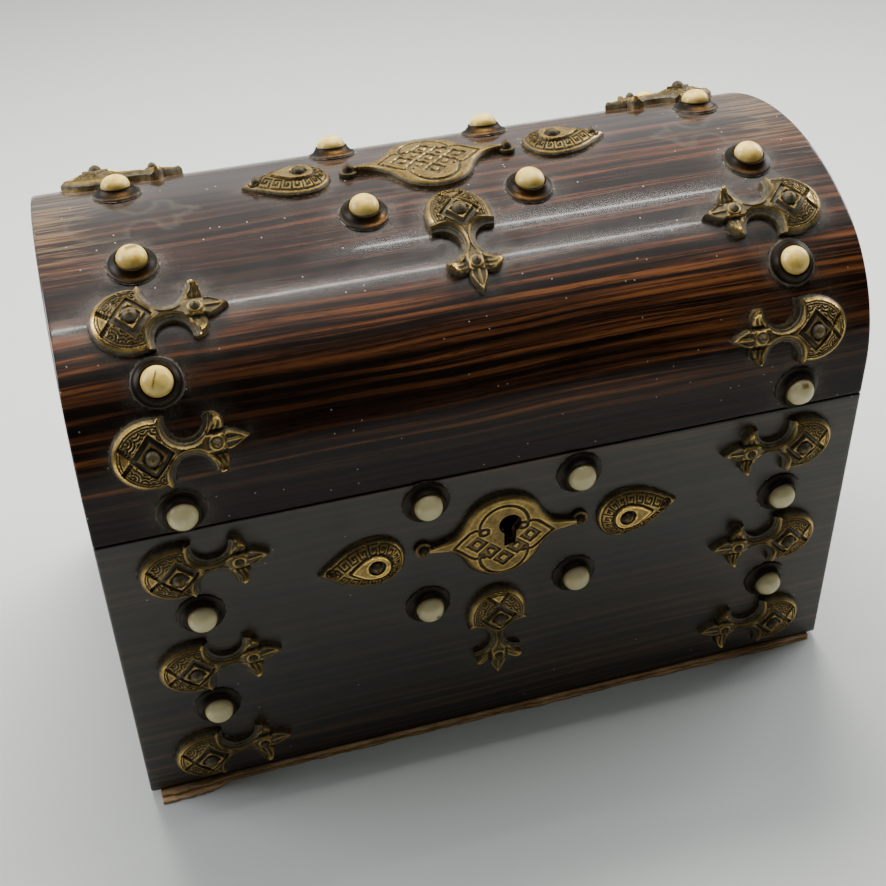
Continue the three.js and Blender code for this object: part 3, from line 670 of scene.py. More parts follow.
# A domed rivet with a small dimple on its crown
def rivet(radius, base, rise, x=0.0):
    profile = [(radius * 1.08, base - 1.4), (radius * 1.08, base + 0.1), (radius, base + 0.3)]
    for degrees in range(15, 90, 15):
        angle = math.radians(degrees)
        profile.append((radius * math.cos(angle), base + 0.3 + (rise - 0.3) * math.sin(angle)))
    top = base + rise
    profile += [(radius * 0.22, top + 0.02), (radius * 0.16, top - 0.1), (0.0, top + 0.05)]
    return turned(profile, 20, x)


# A casting with its rivets added, dark below and worn a little bright on their crowns
def withRivets(casting, rivets):
    points, faces, faceMaterials, finish = casting
    for rivetPoints, rivetFaces in rivets:
        crest = (rivetPoints[:, 2] - rivetPoints[:, 2].min()) / np.ptp(rivetPoints[:, 2])
        tone = np.stack([0.04 + 0.5 * crest ** 6, 0.05 + 0.1 * crest, 0 * crest], axis=1)
        faces = faces + [[len(points) + index for index in face] for face in rivetFaces]
        faceMaterials = faceMaterials + [0] * len(rivetFaces)
        points, finish = np.concatenate([points, rivetPoints]), np.concatenate([finish, tone])
    return points, faces, faceMaterials, finish


# The strap mount: a domed lobe with a square frame round its pin, a neck between two round cut-outs,
# two curling leaf lobes and a pointed tip
strap = {
    "lobeLength": 10.8, "lobeHalfWidth": 9.6, "hornReach": 4.9,
    "cutRadius": 5.1, "cutReach": 9.8, "cutSide": 7.3,
    "leafBulge": 1.0, "tipReach": 25.8, "tipLength": 7.0, "tipHalfWidth": 2.6,
    # heights over the wood
    "edgeHeight": 1.2, "fieldHeight": 2.7, "domeHeight": 4.15, "frameRise": 0.42,
    "leafHeight": 1.9, "leafCurl": 1.9, "neckEdge": 1.45, "spineHeight": 3.35, "tipHeight": 2.75,
    # the chased work: how far in each line lies, and how deep it goes
    "rimLines": (1.75, 2.45), "lineHalfWidth": 0.1, "lineDepth": 0.28,
    "scrollPitch": 0.85, "scrollRise": 0.34, "scrollSink": 0.3,
    "frameInner": 4.0, "frameOuter": 5.7, "armLine": 4.85, "armHalfWidth": 0.45, "channelDepth": 0.62,
    "neckWidth": 2.15, "neckLines": ((0.75, 0.14), (1.35, 0.16)),
    "tipPinReach": 16.9,
}
strapNotch = strap["tipReach"] - strap["tipLength"]  # where the tip leaves the leaves


def strapOutline():
    s = strap
    shift = s["hornReach"] - s["cutReach"]
    hornHeight = s["cutSide"] + math.sqrt(s["cutRadius"] ** 2 - shift ** 2)
    hornAngle = math.degrees(math.atan2(hornHeight - s["cutSide"], shift))
    leafStart = s["cutReach"] + s["cutRadius"]
    notch = strapNotch
    crest = s["cutSide"] + s["leafBulge"]
    return mirrored(
        arcPoints((0, 0), s["lobeLength"], s["lobeHalfWidth"], 180, 88, 26),
        [(s["hornReach"], max(hornHeight, s["lobeHalfWidth"] - 0.55))],
        arcPoints((s["cutReach"], s["cutSide"]), s["cutRadius"], s["cutRadius"], hornAngle, 360, 24)[1:],
        curvePoints((leafStart, s["cutSide"]), (leafStart + 0.3, crest + 0.2),
                    (notch + 0.4, crest), (notch + 0.7, s["cutSide"] * 0.68), 10),
        curvePoints((notch + 0.7, s["cutSide"] * 0.68), (notch + 0.9, 3.6), (notch + 0.3, 2.9),
                    (notch + 0.2, s["tipHalfWidth"] * 0.85), 5),
        curvePoints((notch + 0.2, s["tipHalfWidth"] * 0.85), (notch + 2.0, s["tipHalfWidth"] * 1.25),
                    (notch + 4.0, s["tipHalfWidth"] * 0.6), (s["tipReach"], 0), 8),
    )


scrollCentres = np.array([
    (-5.7, 4.6), (-3.5, 6.5), (-0.9, 7.2), (1.6, 6.5), (3.0, 4.4), (4.6, 3.0), (-7.2, 3.0)])


def scrolls(x, y, pitch):
    best = np.full(x.shape, 1e9)
    wave = np.zeros(x.shape)
    for k, (centreX, centreY) in enumerate(scrollCentres):
        dx, dy = x - centreX, np.abs(y) - centreY
        distance = np.hypot(dx, dy)
        spiral = np.cos(2 * math.pi * distance / pitch - (1 if k % 2 else -1) * np.arctan2(dy, dx))
        wave = np.where(distance < best, spiral, wave)
        best = np.minimum(distance, best)
    return smooth(-0.2, 0.5, wave)


# Distance from the middle line, depth past the round cut-outs, and how much of the lobe each place has
def strapParts(x, y):
    side = np.abs(y)
    cutDepth = np.hypot(x - strap["cutReach"], side - strap["cutSide"]) - strap["cutRadius"]
    return side, cutDepth, smooth(6.2, 4.6, x) * smooth(1.9, 2.5, cutDepth)


def strapHeight(x, y, depth, run):
    s = strap
    side, cutDepth, lobe = strapParts(x, y)
    radius = np.hypot(x, y)
    taxi = np.abs(x) + side

    # lobe: bevelled rim, two fine lines, then the chased field
    z = s["fieldHeight"] + (s["domeHeight"] - s["fieldHeight"]) * smooth(9.0, 2.5, radius) - 0.1
    for inward in s["rimLines"]:
        z -= s["lineDepth"] * lineAt(depth - inward, s["lineHalfWidth"]) * lobe
    field = lobe * smooth(2.6, 2.9, depth) * smooth(s["frameOuter"] + 0.5, s["frameOuter"] + 0.7, taxi)
    between = side < -(x + s["armLine"]) - 0.6  # the plain triangle past the crossing
    chased = s["scrollRise"] * scrolls(x, y, s["scrollPitch"]) - s["scrollSink"]
    z += np.where(between, 0.0, field * chased)

    # the square frame, its channel and the arms of the channel that run on to the rim
    middle, halfWidth = (s["frameInner"] + s["frameOuter"]) / 2, (s["frameOuter"] - s["frameInner"]) / 2
    channel = lineAt(taxi - middle, halfWidth - 0.05)
    arm = lineAt((side + x + s["armLine"]) / math.sqrt(2), s["armHalfWidth"])
    arm *= smooth(-4.2, -4.5, x) * smooth(1.3, 1.7, depth)
    z -= s["channelDepth"] * np.maximum(channel, arm)
    z += 0.16 * lineAt(taxi - s["frameOuter"] - 0.38, 0.12) * lobe
    inner = smooth(s["frameInner"] + 0.05, s["frameInner"] - 0.12, taxi)
    z = z * (1 - inner) + (s["domeHeight"] + s["frameRise"]) * inner
    z -= 0.3 * smooth(s["frameInner"] - 1.0, s["frameInner"] - 1.2, taxi)
    z -= 0.35 * smooth(2.7, 2.4, radius)

    # leaves: ribbed, curling up at the ends, with a deep cut beside the tip
    leaf = smooth(13.6, 14.6, x) * smooth(strapNotch + 1.6, strapNotch + 0.8, x) * smooth(1.9, 2.6, side)
    curl = s["leafHeight"] + s["leafCurl"] * smooth(3.2, 7.2, side)
    ribs = 0.13 * np.cos(2 * math.pi * (cutDepth - 0.35) / 1.3) * smooth(6.2, 5.2, side)
    ribs -= 0.5 * smooth(0.7, 0.2, np.abs(side - 2.9)) * smooth(15.5, 16.2, x)
    z = z * (1 - leaf) + (curl + ribs) * leaf
    z += 0.5 * smooth(2.4, 1.7, np.hypot(x - s["tipPinReach"], y)) * (1 - lobe)

    # neck: a spine that falls to a lined edge at each cut-out
    spine = s["spineHeight"] - 0.05 * (x - 5)
    neck = s["neckEdge"] + (spine - s["neckEdge"]) * np.clip(cutDepth / s["neckWidth"], 0, 1.2) ** 1.35
    for inward, lineDepth in s["neckLines"]:
        neck = neck - lineDepth * lineAt(cutDepth - inward, 0.12)
    inNeck = (cutDepth < s["neckWidth"]) & (x > 3.0)
    z = np.where(inNeck, np.minimum(np.maximum(z, spine * (x > 5.6) * (side < 1.2)), neck), z)

    # tip: a ridge with hollow flanks and raised rims
    tipPart = smooth(strapNotch + 0.2, strapNotch + 0.9, x)
    fall = s["tipHeight"] - 0.11 * (x - strapNotch)
    hollow = fall - 0.42 * smooth(0.05, 0.75, side) + 0.34 * smooth(0.85, 0.35, depth)
    z = z * (1 - tipPart) + hollow * tipPart

    # the edge: wide bevel on the lobe, narrow round the leaves and the tip
    bevel = np.clip(depth / (0.35 + 1.15 * lobe), 0, 1)
    return np.where(inNeck, z, s["edgeHeight"] + (z - s["edgeHeight"]) * bevel ** 0.8)


def strapGilt(x, y, depth, run):
    side, cutDepth, lobe = strapParts(x, y)
    rim = smooth(1.7, 1.3, depth) * lobe
    triangle = ((side < -(x + strap["armLine"]) - 0.6) & (x < -5)).astype(float)
    curlTop = smooth(5.6, 6.6, side) * smooth(14, 14.6, x)
    neckRim = smooth(1.2, 0.6, cutDepth) * smooth(3.0, 5.0, x)
    bright = np.maximum.reduce([rim, 0.8 * triangle, curlTop, 0.5 * neckRim])
    return 0.14 + 0.86 * bright + 0.2 * smooth(12, 15, x)


strapShape = strapOutline()
strapCasting = withRivets(relief(strapShape, strapHeight, strapGilt), [
    rivet(1.95, strap["domeHeight"] - 0.1, 2.0), rivet(1.4, 2.6, 1.9, strap["tipPinReach"])])


# Residue gathers low in the relief; each placing has its own share
def placeCasting(name, casting, shape, body, x, along, turn, residueShare, giltAndPaintedLightShare):
    points, faces, faceMaterials, finish = casting
    across, up = placeShifts.get(name, (0, 0))
    placed = seat(points, body, x + across, along + up, turn)
    mountSpots.append((body, x + across, along + up, turn, shape, 0.3 + residueShare))
    tone = finish.copy()
    # the gilding share is partly painted shade: the mounts on the case front get less of it than those on the lid
    tone[:, 1] *= giltAndPaintedLightShare
    tone[:, 2] = residueShare * np.clip(1.25 - 1.6 * finish[:, 0], 0, 1)
    piece = makePiece(name, placed, faces, body, [mountBrass, waxLine], faceMaterials, tone)
    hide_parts(name)


mountRows = {
    "mountX": 95.1, "lean": 1.5,
    "caseFirst": 12.6, "caseLast": 13.0, "caseHeight": 100.8,
    "lidFirst": 25.8, "lidLast": 34.0, "keptLidRows": (1, 2, 4, 5),
    "lidResidue": (0.25, 0.6, 0.55, 0.5, 0.4), "lidGilt": (1.0, 1.0, 0.8, 0.8, 0.8),
    # the case mounts get less gilding than the lid's: partly painted shade for the front
    "caseResidue": 0.3, "caseGiltInPaintedShade": 0.4,
    "fanBelow": 56.5, "fanAlong": 80.3,  # the two in the middle, which point down
}
casePitch = (mountRows["caseHeight"] - mountRows["caseFirst"] - mountRows["caseLast"]) / 2
lidPitch = (archLength - mountRows["lidFirst"] - mountRows["lidLast"]) / 4
bothSides = (("left", -1, mountRows["lean"]), ("right", 1, 180 - mountRows["lean"]))
for sideName, sign, turn in bothSides:
    for row in (1, 2, 3):
        below = mountRows["caseFirst"] + (row - 1) * casePitch
        placeCasting(f"strap_mount_case_{sideName}_{row}", strapCasting, strapShape, "case",
                     sign * mountRows["mountX"], -below, turn, mountRows["caseResidue"], mountRows["caseGiltInPaintedShade"])
    for row in mountRows["keptLidRows"]:
        placeCasting(f"strap_mount_lid_{sideName}_{row}", strapCasting, strapShape, "lid",
                     sign * mountRows["mountX"], mountRows["lidFirst"] + (row - 1) * lidPitch, turn,
                     mountRows["lidResidue"][row - 1], mountRows["lidGilt"][row - 1])
# the fan mount on the case gets half the gilding, partly painted shade for the front
placeCasting("fan_mount_case", strapCasting, strapShape, "case", 0, -mountRows["fanBelow"], -90, 0.3, 0.5)
placeCasting("fan_mount_lid", strapCasting, strapShape, "lid", 0, mountRows["fanAlong"], -90, 0.5, 1.0)
print("strap mounts are cast")


# The lozenge plates: thin, with a wide gilt bevel, an incised interlace of loops and squares, and a
# small rivet on a disc at each end
plate = {
    "halfHeight": 15.4, "tailReach": 23.2, "tailWidth": 1.6, "thickness": 2.2,
    "bevel": 2.2, "edgeHeight": 0.9, "grooveHalfWidth": 0.36, "grooveDepth": 0.45,
    "squareSize": 3.0, "diamondSize": 1.3, "discReach": 24.3,
    "depthBelow": 24.4, "lean": -0.7, "lidAlong": 107.0,
    # the incised pattern's right half: arcs (x, y, radius), pointed side lobe, loops at the crossings, squares
    "topCircle": (0.0, 4.0, 7.6), "bottomCircle": (0.0, -6.2, 7.6),
    "sideLobe": [(7.3, 3.9), (8.9, 4.4), (10.6, 3.8), (12.6, 1.9), (15.4, -0.9),
                 (13.0, -2.9), (11.0, -4.9), (9.0, -6.4), (7.2, -6.5)],
    "loops": [(6.1, 3.1), (6.1, -5.4)], "loopRadius": 1.15,
    "squares": [(8.3, -1.0), (4.15, -4.5), (0, -8.0)], "topSquares": [(4.15, 2.4), (0, 5.8), (0, -1.0)],
    "keyholeX": 1.9, "keyholeY": 4.4, "keyholeRadius": 3.55, "keyholeSlot": 1.85, "keyholeDrop": 7.85,
}


def plateOutline():
    h = plate["halfHeight"]
    left = np.concatenate([
        curvePoints((-plate["tailReach"], plate["tailWidth"] / 2), (-1.07 * h, 0.08 * h),
                    (-0.88 * h, 0.27 * h), (-0.75 * h, 0.545 * h), 14),
        curvePoints((-0.75 * h, 0.545 * h), (-0.61 * h, 0.84 * h), (-0.325 * h, h), (0, h), 14)[1:]])
    right = left[::-1] * (-1, 1)
    return mirrored(left, right[1:])


def segmentDistance(x, y, start, end):
    dx, dy = end[0] - start[0], end[1] - start[1]
    t = np.clip(((x - start[0]) * dx + (y - start[1]) * dy) / (dx * dx + dy * dy), 0, 1)
    return np.hypot(x - start[0] - t * dx, y - start[1] - t * dy)


# Nearest distance to the incised lines, drawn for the right half and mirrored
def interlace(x, y, withTopSquare):
    ax = np.abs(x)
    nearest = np.full(x.shape, 9.0)
    topX, topY, topRadius = plate["topCircle"]
    lowX, lowY, lowRadius = plate["bottomCircle"]
    upper = np.abs(np.hypot(x - topX, y - topY) - topRadius)
    nearest = np.where(y > topY - 0.2, np.minimum(nearest, upper), nearest)
    lower = np.abs(np.hypot(x - lowX, y - lowY) - lowRadius)
    nearest = np.where(y < lowY + 0.2, np.minimum(nearest, lower), nearest)
    for start, end in zip(plate["sideLobe"], plate["sideLobe"][1:]):
        nearest = np.minimum(nearest, segmentDistance(ax, y, start, end))
    for loopX, loopY in plate["loops"]:
        nearest = np.minimum(nearest, np.abs(np.hypot((ax - loopX) * 0.85, y - loopY) - plate["loopRadius"]))
    # a chain of sunk squares on their corners, each round a small diamond
    squares = plate["squares"] + (plate["topSquares"] if withTopSquare else [])
    middle = (plate["squareSize"] + plate["diamondSize"]) / 2
    for squareX, squareY in squares:
        taxi = np.abs(ax - squareX) / 1.12 + np.abs(y - squareY)
        outsideBand = (np.abs(taxi - middle) - (plate["squareSize"] - middle)) / 1.4
        nearest = np.minimum(nearest, np.maximum(outsideBand + plate["grooveHalfWidth"], 0))
    return nearest


def plateHeight(withTopSquare):
    def heightOf(x, y, depth, run):
        width = np.minimum(plate["bevel"], 0.4 + 1.8 * smooth(20, 13, np.abs(x)))
        bevel = np.clip(depth / width, 0, 1)
        z = plate["edgeHeight"] + (plate["thickness"] - plate["edgeHeight"]) * np.sin(bevel * math.pi / 2)
        groove = lineAt(interlace(x, y, withTopSquare), plate["grooveHalfWidth"]) * smooth(1.2, 1.6, depth)
        return z - plate["grooveDepth"] * groove
    return heightOf


def plateGilt(x, y, depth, run):
    return 0.5 + 0.5 * smooth(1.4, 2.2, depth)


def keyholeOutline():
    radius, slot = plate["keyholeRadius"], plate["keyholeSlot"]
    meet = math.degrees(math.asin(slot / radius))
    foot = [(-slot, -plate["keyholeDrop"]), (slot, -plate["keyholeDrop"])]
    return np.concatenate([arcPoints((0, 0), radius, radius, meet - 90, 270 - meet, 30), foot])


def endRivets():
    made = []
    for sign in (-1, 1):
        x = sign * plate["discReach"]
        made.append(turned([(2.7, -0.25), (2.7, 0.85), (2.55, 1.1), (1.9, 1.15), (1.7, 1.15), (0.0, 1.2)], 28, x))
        made.append(rivet(1.6, 1.1, 2.3, x))
    return made


keyhole = keyholeOutline() + (plate["keyholeX"], plate["keyholeY"])
outline = plateOutline()
escutcheon = withRivets(relief(outline, plateHeight(False), plateGilt, [keyhole]), endRivets())
crestPlate = withRivets(relief(outline, plateHeight(True), plateGilt), endRivets())
# the escutcheon on the case front gets half the gilding, partly painted shade for the front
placeCasting("escutcheon", escutcheon, outline, "case", 0, -plate["depthBelow"], plate["lean"], 0.1, 0.5)
placeCasting("lid_plate", crestPlate, outline, "lid", 0, plate["lidAlong"], 0, 0.3, 1.0)
print("plates are cut and incised")


# The teardrops: a domed drop with a key-pattern border round a plain gilt drop and its rivet
drop = {
    "length": 25.9, "width": 17.6, "eyeInset": 9.0, "tipPinInset": 4.2,
    "edgeHeight": 0.6, "shoulder": 3.1, "shoulderWidth": 5.0, "crown": 3.6, "innerShare": 0.46,
    "rimLine": 1.25, "rimLineDepth": 0.3,
    "keyPitch": 3.7, "keyStart": 1.5, "keyDepth": 2.8, "keyRelief": 0.34, "keyGap": 0.35,
    "ringDepth": 0.4, "ringHalfWidth": 0.25, "pinRing": 1.8, "eyeRim": (2.7, 2.4), "eyeDepth": 0.7,
    "eyeX": 38.9, "lean": 3.0, "caseDepths": (24.7, 26.2), "lidAlong": 107.0,
}
dropTipX = drop["eyeInset"] - drop["length"]
dropPinX = dropTipX + drop["tipPinInset"]
# one repeat of the key: rows run inward from the edge
keyPattern = np.array([
    [1, 1, 1, 1, 1, 0],
    [1, 0, 0, 0, 1, 0],
    [1, 0, 1, 0, 1, 0],
    [1, 0, 1, 1, 1, 0],
    [1, 0, 0, 0, 0, 0],
])


def dropOutline():
    wide, end = drop["width"] / 2, drop["eyeInset"]
    return mirrored(
        curvePoints((dropTipX, 0), (dropTipX * 0.68, wide * 0.55), (dropTipX * 0.43, wide), (0, wide), 18),
        curvePoints((0, wide), (end * 0.59, wide), (end, wide * 0.59), (end, 0), 16))


dropShape = dropOutline()
dropAround = np.hypot(*(np.roll(dropShape, -1, axis=0) - dropShape).T).sum()


def dropHeight(x, y, depth, run):
    innerDepth, _ = depthInside(x, y, dropShape * drop["innerShare"])
    share = np.clip(depth / drop["shoulderWidth"], 0, 1)
    z = drop["edgeHeight"] + (drop["shoulder"] - drop["edgeHeight"]) * np.sin(share * math.pi / 2) ** 0.85
    z -= drop["rimLineDepth"] * lineAt(depth - drop["rimLine"], 0.1)
    around = np.mod(run / (dropAround / round(dropAround / drop["keyPitch"])), 1) * keyPattern.shape[1]
    inward = (depth - drop["keyStart"]) / drop["keyDepth"] * keyPattern.shape[0]
    inBand = (inward > 0) & (inward < keyPattern.shape[0]) & (innerDepth < -drop["keyGap"])
    column = np.clip(around.astype(int), 0, keyPattern.shape[1] - 1)
    row = np.clip(inward.astype(int), 0, keyPattern.shape[0] - 1)
    z += np.where(inBand, drop["keyRelief"] * keyPattern[row, column] - drop["keyRelief"], 0.0)
    z -= drop["ringDepth"] * lineAt(innerDepth + 0.3, drop["ringHalfWidth"])
    z -= drop["ringDepth"] * lineAt(np.hypot(x - dropPinX, y) - drop["pinRing"], drop["ringHalfWidth"])
    inner = smooth(-0.15, 0.15, innerDepth)
    z = z * (1 - inner) + drop["crown"] * inner
    return z - drop["eyeDepth"] * smooth(*drop["eyeRim"], np.hypot(x, y))


def dropGilt(x, y, depth, run):
    innerDepth, _ = depthInside(x, y, dropShape * drop["innerShare"])
    ring = smooth(-0.1, 0.2, innerDepth) * smooth(2.5, 2.8, np.hypot(x, y))
    return 0.22 + 0.5 * smooth(1.2, 0.9, depth) + 0.78 * ring


dropCasting = withRivets(relief(dropShape, dropHeight, dropGilt), [
    rivet(1.75, drop["crown"] - 0.6, 1.9), rivet(1.35, 1.5, 1.9, dropPinX)])
for sideName, sign, depthBelow in (("left", -1, drop["caseDepths"][0]), ("right", 1, drop["caseDepths"][1])):
    facing = 0 if sign < 0 else 180
    placeCasting(f"teardrop_case_{sideName}", dropCasting, dropShape, "case", sign * drop["eyeX"],
                 -depthBelow, facing + drop["lean"], 0.15, 1.0)
    placeCasting(f"teardrop_lid_{sideName}", dropCasting, dropShape, "lid", sign * drop["eyeX"],
                 drop["lidAlong"], facing, 0.3, 1.0)
print("teardrops are cast")


# The studs: a bone dome in a flared collar
stud = {
    "footRadius": 7.0, "lipRadius": 4.75, "lipHeight": 2.5, "boneRadius": 4.25, "boneRise": 3.1,
    "sides": 56, "columnX": 90.8, "centreX": 23.4, "centreLidX": 24.4,
    "caseCentre": (7.4, 46.4), "lidCentre": (86.4, 129.4),
    "warmAbove": 20,  # handled bones up on the lid are yellower than those below
}


def collar(copperHighlightSide, residueShare, copperHighlightShare):
    foot, lip, height = stud["footRadius"], stud["lipRadius"], stud["lipHeight"]
    profile = [
        (foot + 0.4, -0.27), (foot, -0.25), (foot, 0.2), (foot - 0.12, 0.42), (foot - 0.5, 0.6),
        (foot - 0.85, 0.72), (foot - 1.2, 0.95), (foot - 1.6, 1.35), (foot - 1.9, 1.8), (lip + 0.12, 2.15),
        (lip + 0.12, height - 0.08), (lip, height + 0.02), (lip - 0.2, height + 0.02),
        (lip - 0.3, height - 0.1), (lip - 0.36, 1.9)]
    points, faces = turned(profile, stud["sides"])
    angle = np.arctan2(points[:, 1], points[:, 0])
    radius = np.hypot(points[:, 0], points[:, 1])
    lipShare = smooth(lip + 0.3, lip + 0.1, radius) * smooth(height - 0.3, height - 0.05, points[:, 2])
    footShare = smooth(foot - 0.5, foot - 0.1, radius)
    bare = 0.16 + 0.4 * lipShare + 0.22 * footShare
    # a painted highlight: copper-gold on one side of the flare, with the bare share raised under it
    front = smooth(1.1, 0.2, np.abs(np.angle(np.exp(1j * (angle - copperHighlightSide)))))
    gilt = copperHighlightShare * front * smooth(lip + 0.2, lip + 0.6, radius)
    bare = np.clip(bare + 0.7 * gilt, 0, 1)
    residue = residueShare * smooth(foot - 0.4, foot + 0.1, radius)
    finish = np.stack([bare, gilt, residue], axis=1)
    faceMaterials = [1] * stud["sides"] + [0] * (len(faces) - stud["sides"])
    return points, faces, faceMaterials, finish


def boneDome(marks, greyShare):
    profile = [(stud["boneRadius"], 1.9)]
    for k in range(17):
        angle = math.radians(90 * k / 17)
        profile.append((stud["boneRadius"] * math.cos(angle) ** 0.92,
                        stud["lipHeight"] - 0.25 + (stud["boneRise"] + 0.25) * math.sin(angle)))
    profile.append((0.0, stud["lipHeight"] + stud["boneRise"]))
    points, faces = turned(profile, 40)
    radius = np.hypot(points[:, 0], points[:, 1])
    edge = 0.35 * smooth(stud["boneRadius"] - 0.8, stud["boneRadius"], radius)
    crack = np.zeros(len(points))
    for kind, markX, markY, angle, length, width in marks:
        along = (points[:, 0] - markX) * math.cos(angle) + (points[:, 1] - markY) * math.sin(angle)
        across = -(points[:, 0] - markX) * math.sin(angle) + (points[:, 1] - markY) * math.cos(angle)
        spot = smooth(length, length * 0.6, np.abs(along)) * smooth(width, width * 0.3, np.abs(across))
        if kind == "crack":
            crack = np.maximum(crack, spot)
        else:
            edge = np.maximum(edge, spot)
    return points, faces, np.stack([edge, crack, 0 * edge + greyShare], axis=1)


circle = arcPoints((0, 0), stud["footRadius"], stud["footRadius"], 0, 350, 35)


def placeStud(name, body, x, along, copperHighlightShare, residueShare, marks):
    across, up = placeShifts.get(name, (0, 0))
    x, along = x + across, along + up
    mountSpots.append((body, x, along, 0, circle, residueShare))
    if body == "lid":
        y, z = archPoint(along, 0)
        y2, z2 = archPoint(along, 1)
        out = np.array([0.0, float(y2 - y), float(z2 - z)])
        centre = np.array([x, float(y), float(z)])
    else:
        out = np.array([0.0, -1.0, 0.0])
        centre = np.array([x, -boxShape["halfDepth"], boxShape["seamHeight"] + along])
    across = np.array([1.0, 0.0, 0.0])
    up = np.cross(out, across)
    toFrame = np.stack([across, up, out])
    # the side of the collar that takes the painted copper highlight
    copperHighlightSide = -math.pi / 2 - 0.5 + rng.random(2)[1]  # about down the slope
    metal = collar(copperHighlightSide, residueShare, copperHighlightShare)
    warm = body == "lid" and along > stud["warmAbove"]
    bonePoints, boneFaces, boneFinish = boneDome(marks, 0.0 if warm else 0.75)
    lift = np.array([0, 0, boxShape["seatGap"]])
    collarPiece = makePiece(f"{name}_collar", centre + (metal[0] + lift) @ toFrame, metal[1], body,
                            [collarBrass, waxLine], metal[2], metal[3])
    domePiece = makePiece(f"{name}_bone", centre + (bonePoints + lift) @ toFrame, boneFaces, body,
                          [bone], None, boneFinish, 60)
    for piece, slotName in ((collarPiece, "cast_mount"), (domePiece, "bone_stud")):
        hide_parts(name)


studMarks = {
    "stud_lid_left_2": [("crack", -0.6, 0.4, 1.2, 3.0, 0.3)],
    "stud_lid_left_3": [("stain", 0.4, 1.2, 0.3, 2.2, 1.2)],
    "stud_case_centre_left_2": [("crack", 1.6, -1.2, 0.2, 0.7, 0.6)],
    "stud_lid_right_1": [("stain", 0.2, 3.2, 0.0, 1.4, 0.9)],
}
for sideName, sign, _ in bothSides:
    places = []  # (name, body, x, along, share of painted copper highlight, wax share)
    for i in (1, 2):
        below = mountRows["caseFirst"] + (i - 0.5) * casePitch
        places += [
            (f"stud_case_{sideName}_{i}", "case", stud["columnX"], -below, 0.0, 0.4),
            (f"stud_case_centre_{sideName}_{i}", "case", stud["centreX"], -stud["caseCentre"][i - 1], 0.15, 0.3),
            (f"stud_lid_centre_{sideName}_{i}", "lid", stud["centreLidX"], stud["lidCentre"][i - 1], 0.9, 0.6)]
    for i in range(6):
        along = mountRows["lidFirst"] + (i - 0.5) * lidPitch
        places.append((f"stud_lid_{sideName}_{i + 1}", "lid", stud["columnX"], along, 0.1 if i < 2 else 0.6, 0.8))
    for name, body, x, along, giltAndPaintedLightShare, waxShare in places:
        placeStud(name, body, sign * x, along, giltAndPaintedLightShare, waxShare, studMarks.get(name, ()))
print("studs are turned")


# Marks on the veneer, worked out for each point of a side by its place (across, up)
markReach = 34  # beyond this a mount leaves no wax on the wood
waxFade = 2.6
ghostSpots = [(sign * mountRows["mountX"], mountRows["lidFirst"] + 2 * lidPitch, turn) for _, sign, turn in bothSides]


def localDepth(x, up, spotX, spotUp, turnDegrees, shape):
    angle = math.radians(turnDegrees)
    dx, dy = x - spotX, up - spotUp
    return depthInside(dx * math.cos(angle) + dy * math.sin(angle),
                       -dx * math.sin(angle) + dy * math.cos(angle), shape)[0]


def veneerMarks(body, x, up):
    residue, ghost = np.zeros(x.shape), np.zeros(x.shape)
    for spotBody, spotX, spotUp, turnDegrees, shape, share in mountSpots:
        if spotBody != body:
            continue
        near = (np.abs(x - spotX) < markReach) & (np.abs(up - spotUp) < markReach)
        outside = -localDepth(x[near], up[near], spotX, spotUp, turnDegrees, shape)
        residue[near] = np.maximum(residue[near], share * np.exp(-np.maximum(outside, 0) / waxFade))
    dryness = np.zeros(x.shape)
    if body == "lid":
        dryness = smooth(78, 108, np.abs(x)) * smooth(50, 100, up) * smooth(204, 180, up)
        for spotX, spotUp, turnDegrees in ghostSpots:
            near = (np.abs(x - spotX) < markReach) & (np.abs(up - spotUp) < markReach)
            inside = localDepth(x[near], up[near], spotX, spotUp, turnDegrees, strapShape)
            ghost[near] = np.maximum(lineAt(inside, 0.4, 0.7), 0.25 * smooth(0, 1, inside))
    dryness = np.maximum(dryness, 0.35 * smooth(112.8, 114.8, np.abs(x)))
    return np.stack([residue, dryness, ghost], axis=1)


# Wood: closed shells built from a fine outer grid, with every outer edge slightly rounded
wood = {"edgeRound": 0.9, "rimRound": 0.5, "spacing": 1.15, "roundSteps": 4, "rimSteps": 3, "innerSteps": 90}


# Places along a side that crowd together at its rounded ends, with how far each lies in
def roundedRun(length, radius, steps):
    angle = np.linspace(0, math.pi / 2, steps + 1)
    lead, inset = radius * (1 - np.cos(angle)), radius * (1 - np.sin(angle))
    count = int((length - 2 * radius) / wood["spacing"])
    middle = np.linspace(radius, length - radius, count + 1)[1:-1]
    places = np.concatenate([lead, middle, length - lead[::-1]])
    return places, np.concatenate([inset, np.zeros(len(middle)), inset[::-1]])


# Quads over a grid of points
def gridFaces(rows, columns, start=0, flip=False):
    ids = start + np.arange(rows * columns).reshape(rows, columns)
    quads = np.stack([ids[:-1, :-1], ids[1:, :-1], ids[1:, 1:], ids[:-1, 1:]], axis=-1).reshape(-1, 4)
    return (quads[:, ::-1] if flip else quads).tolist()


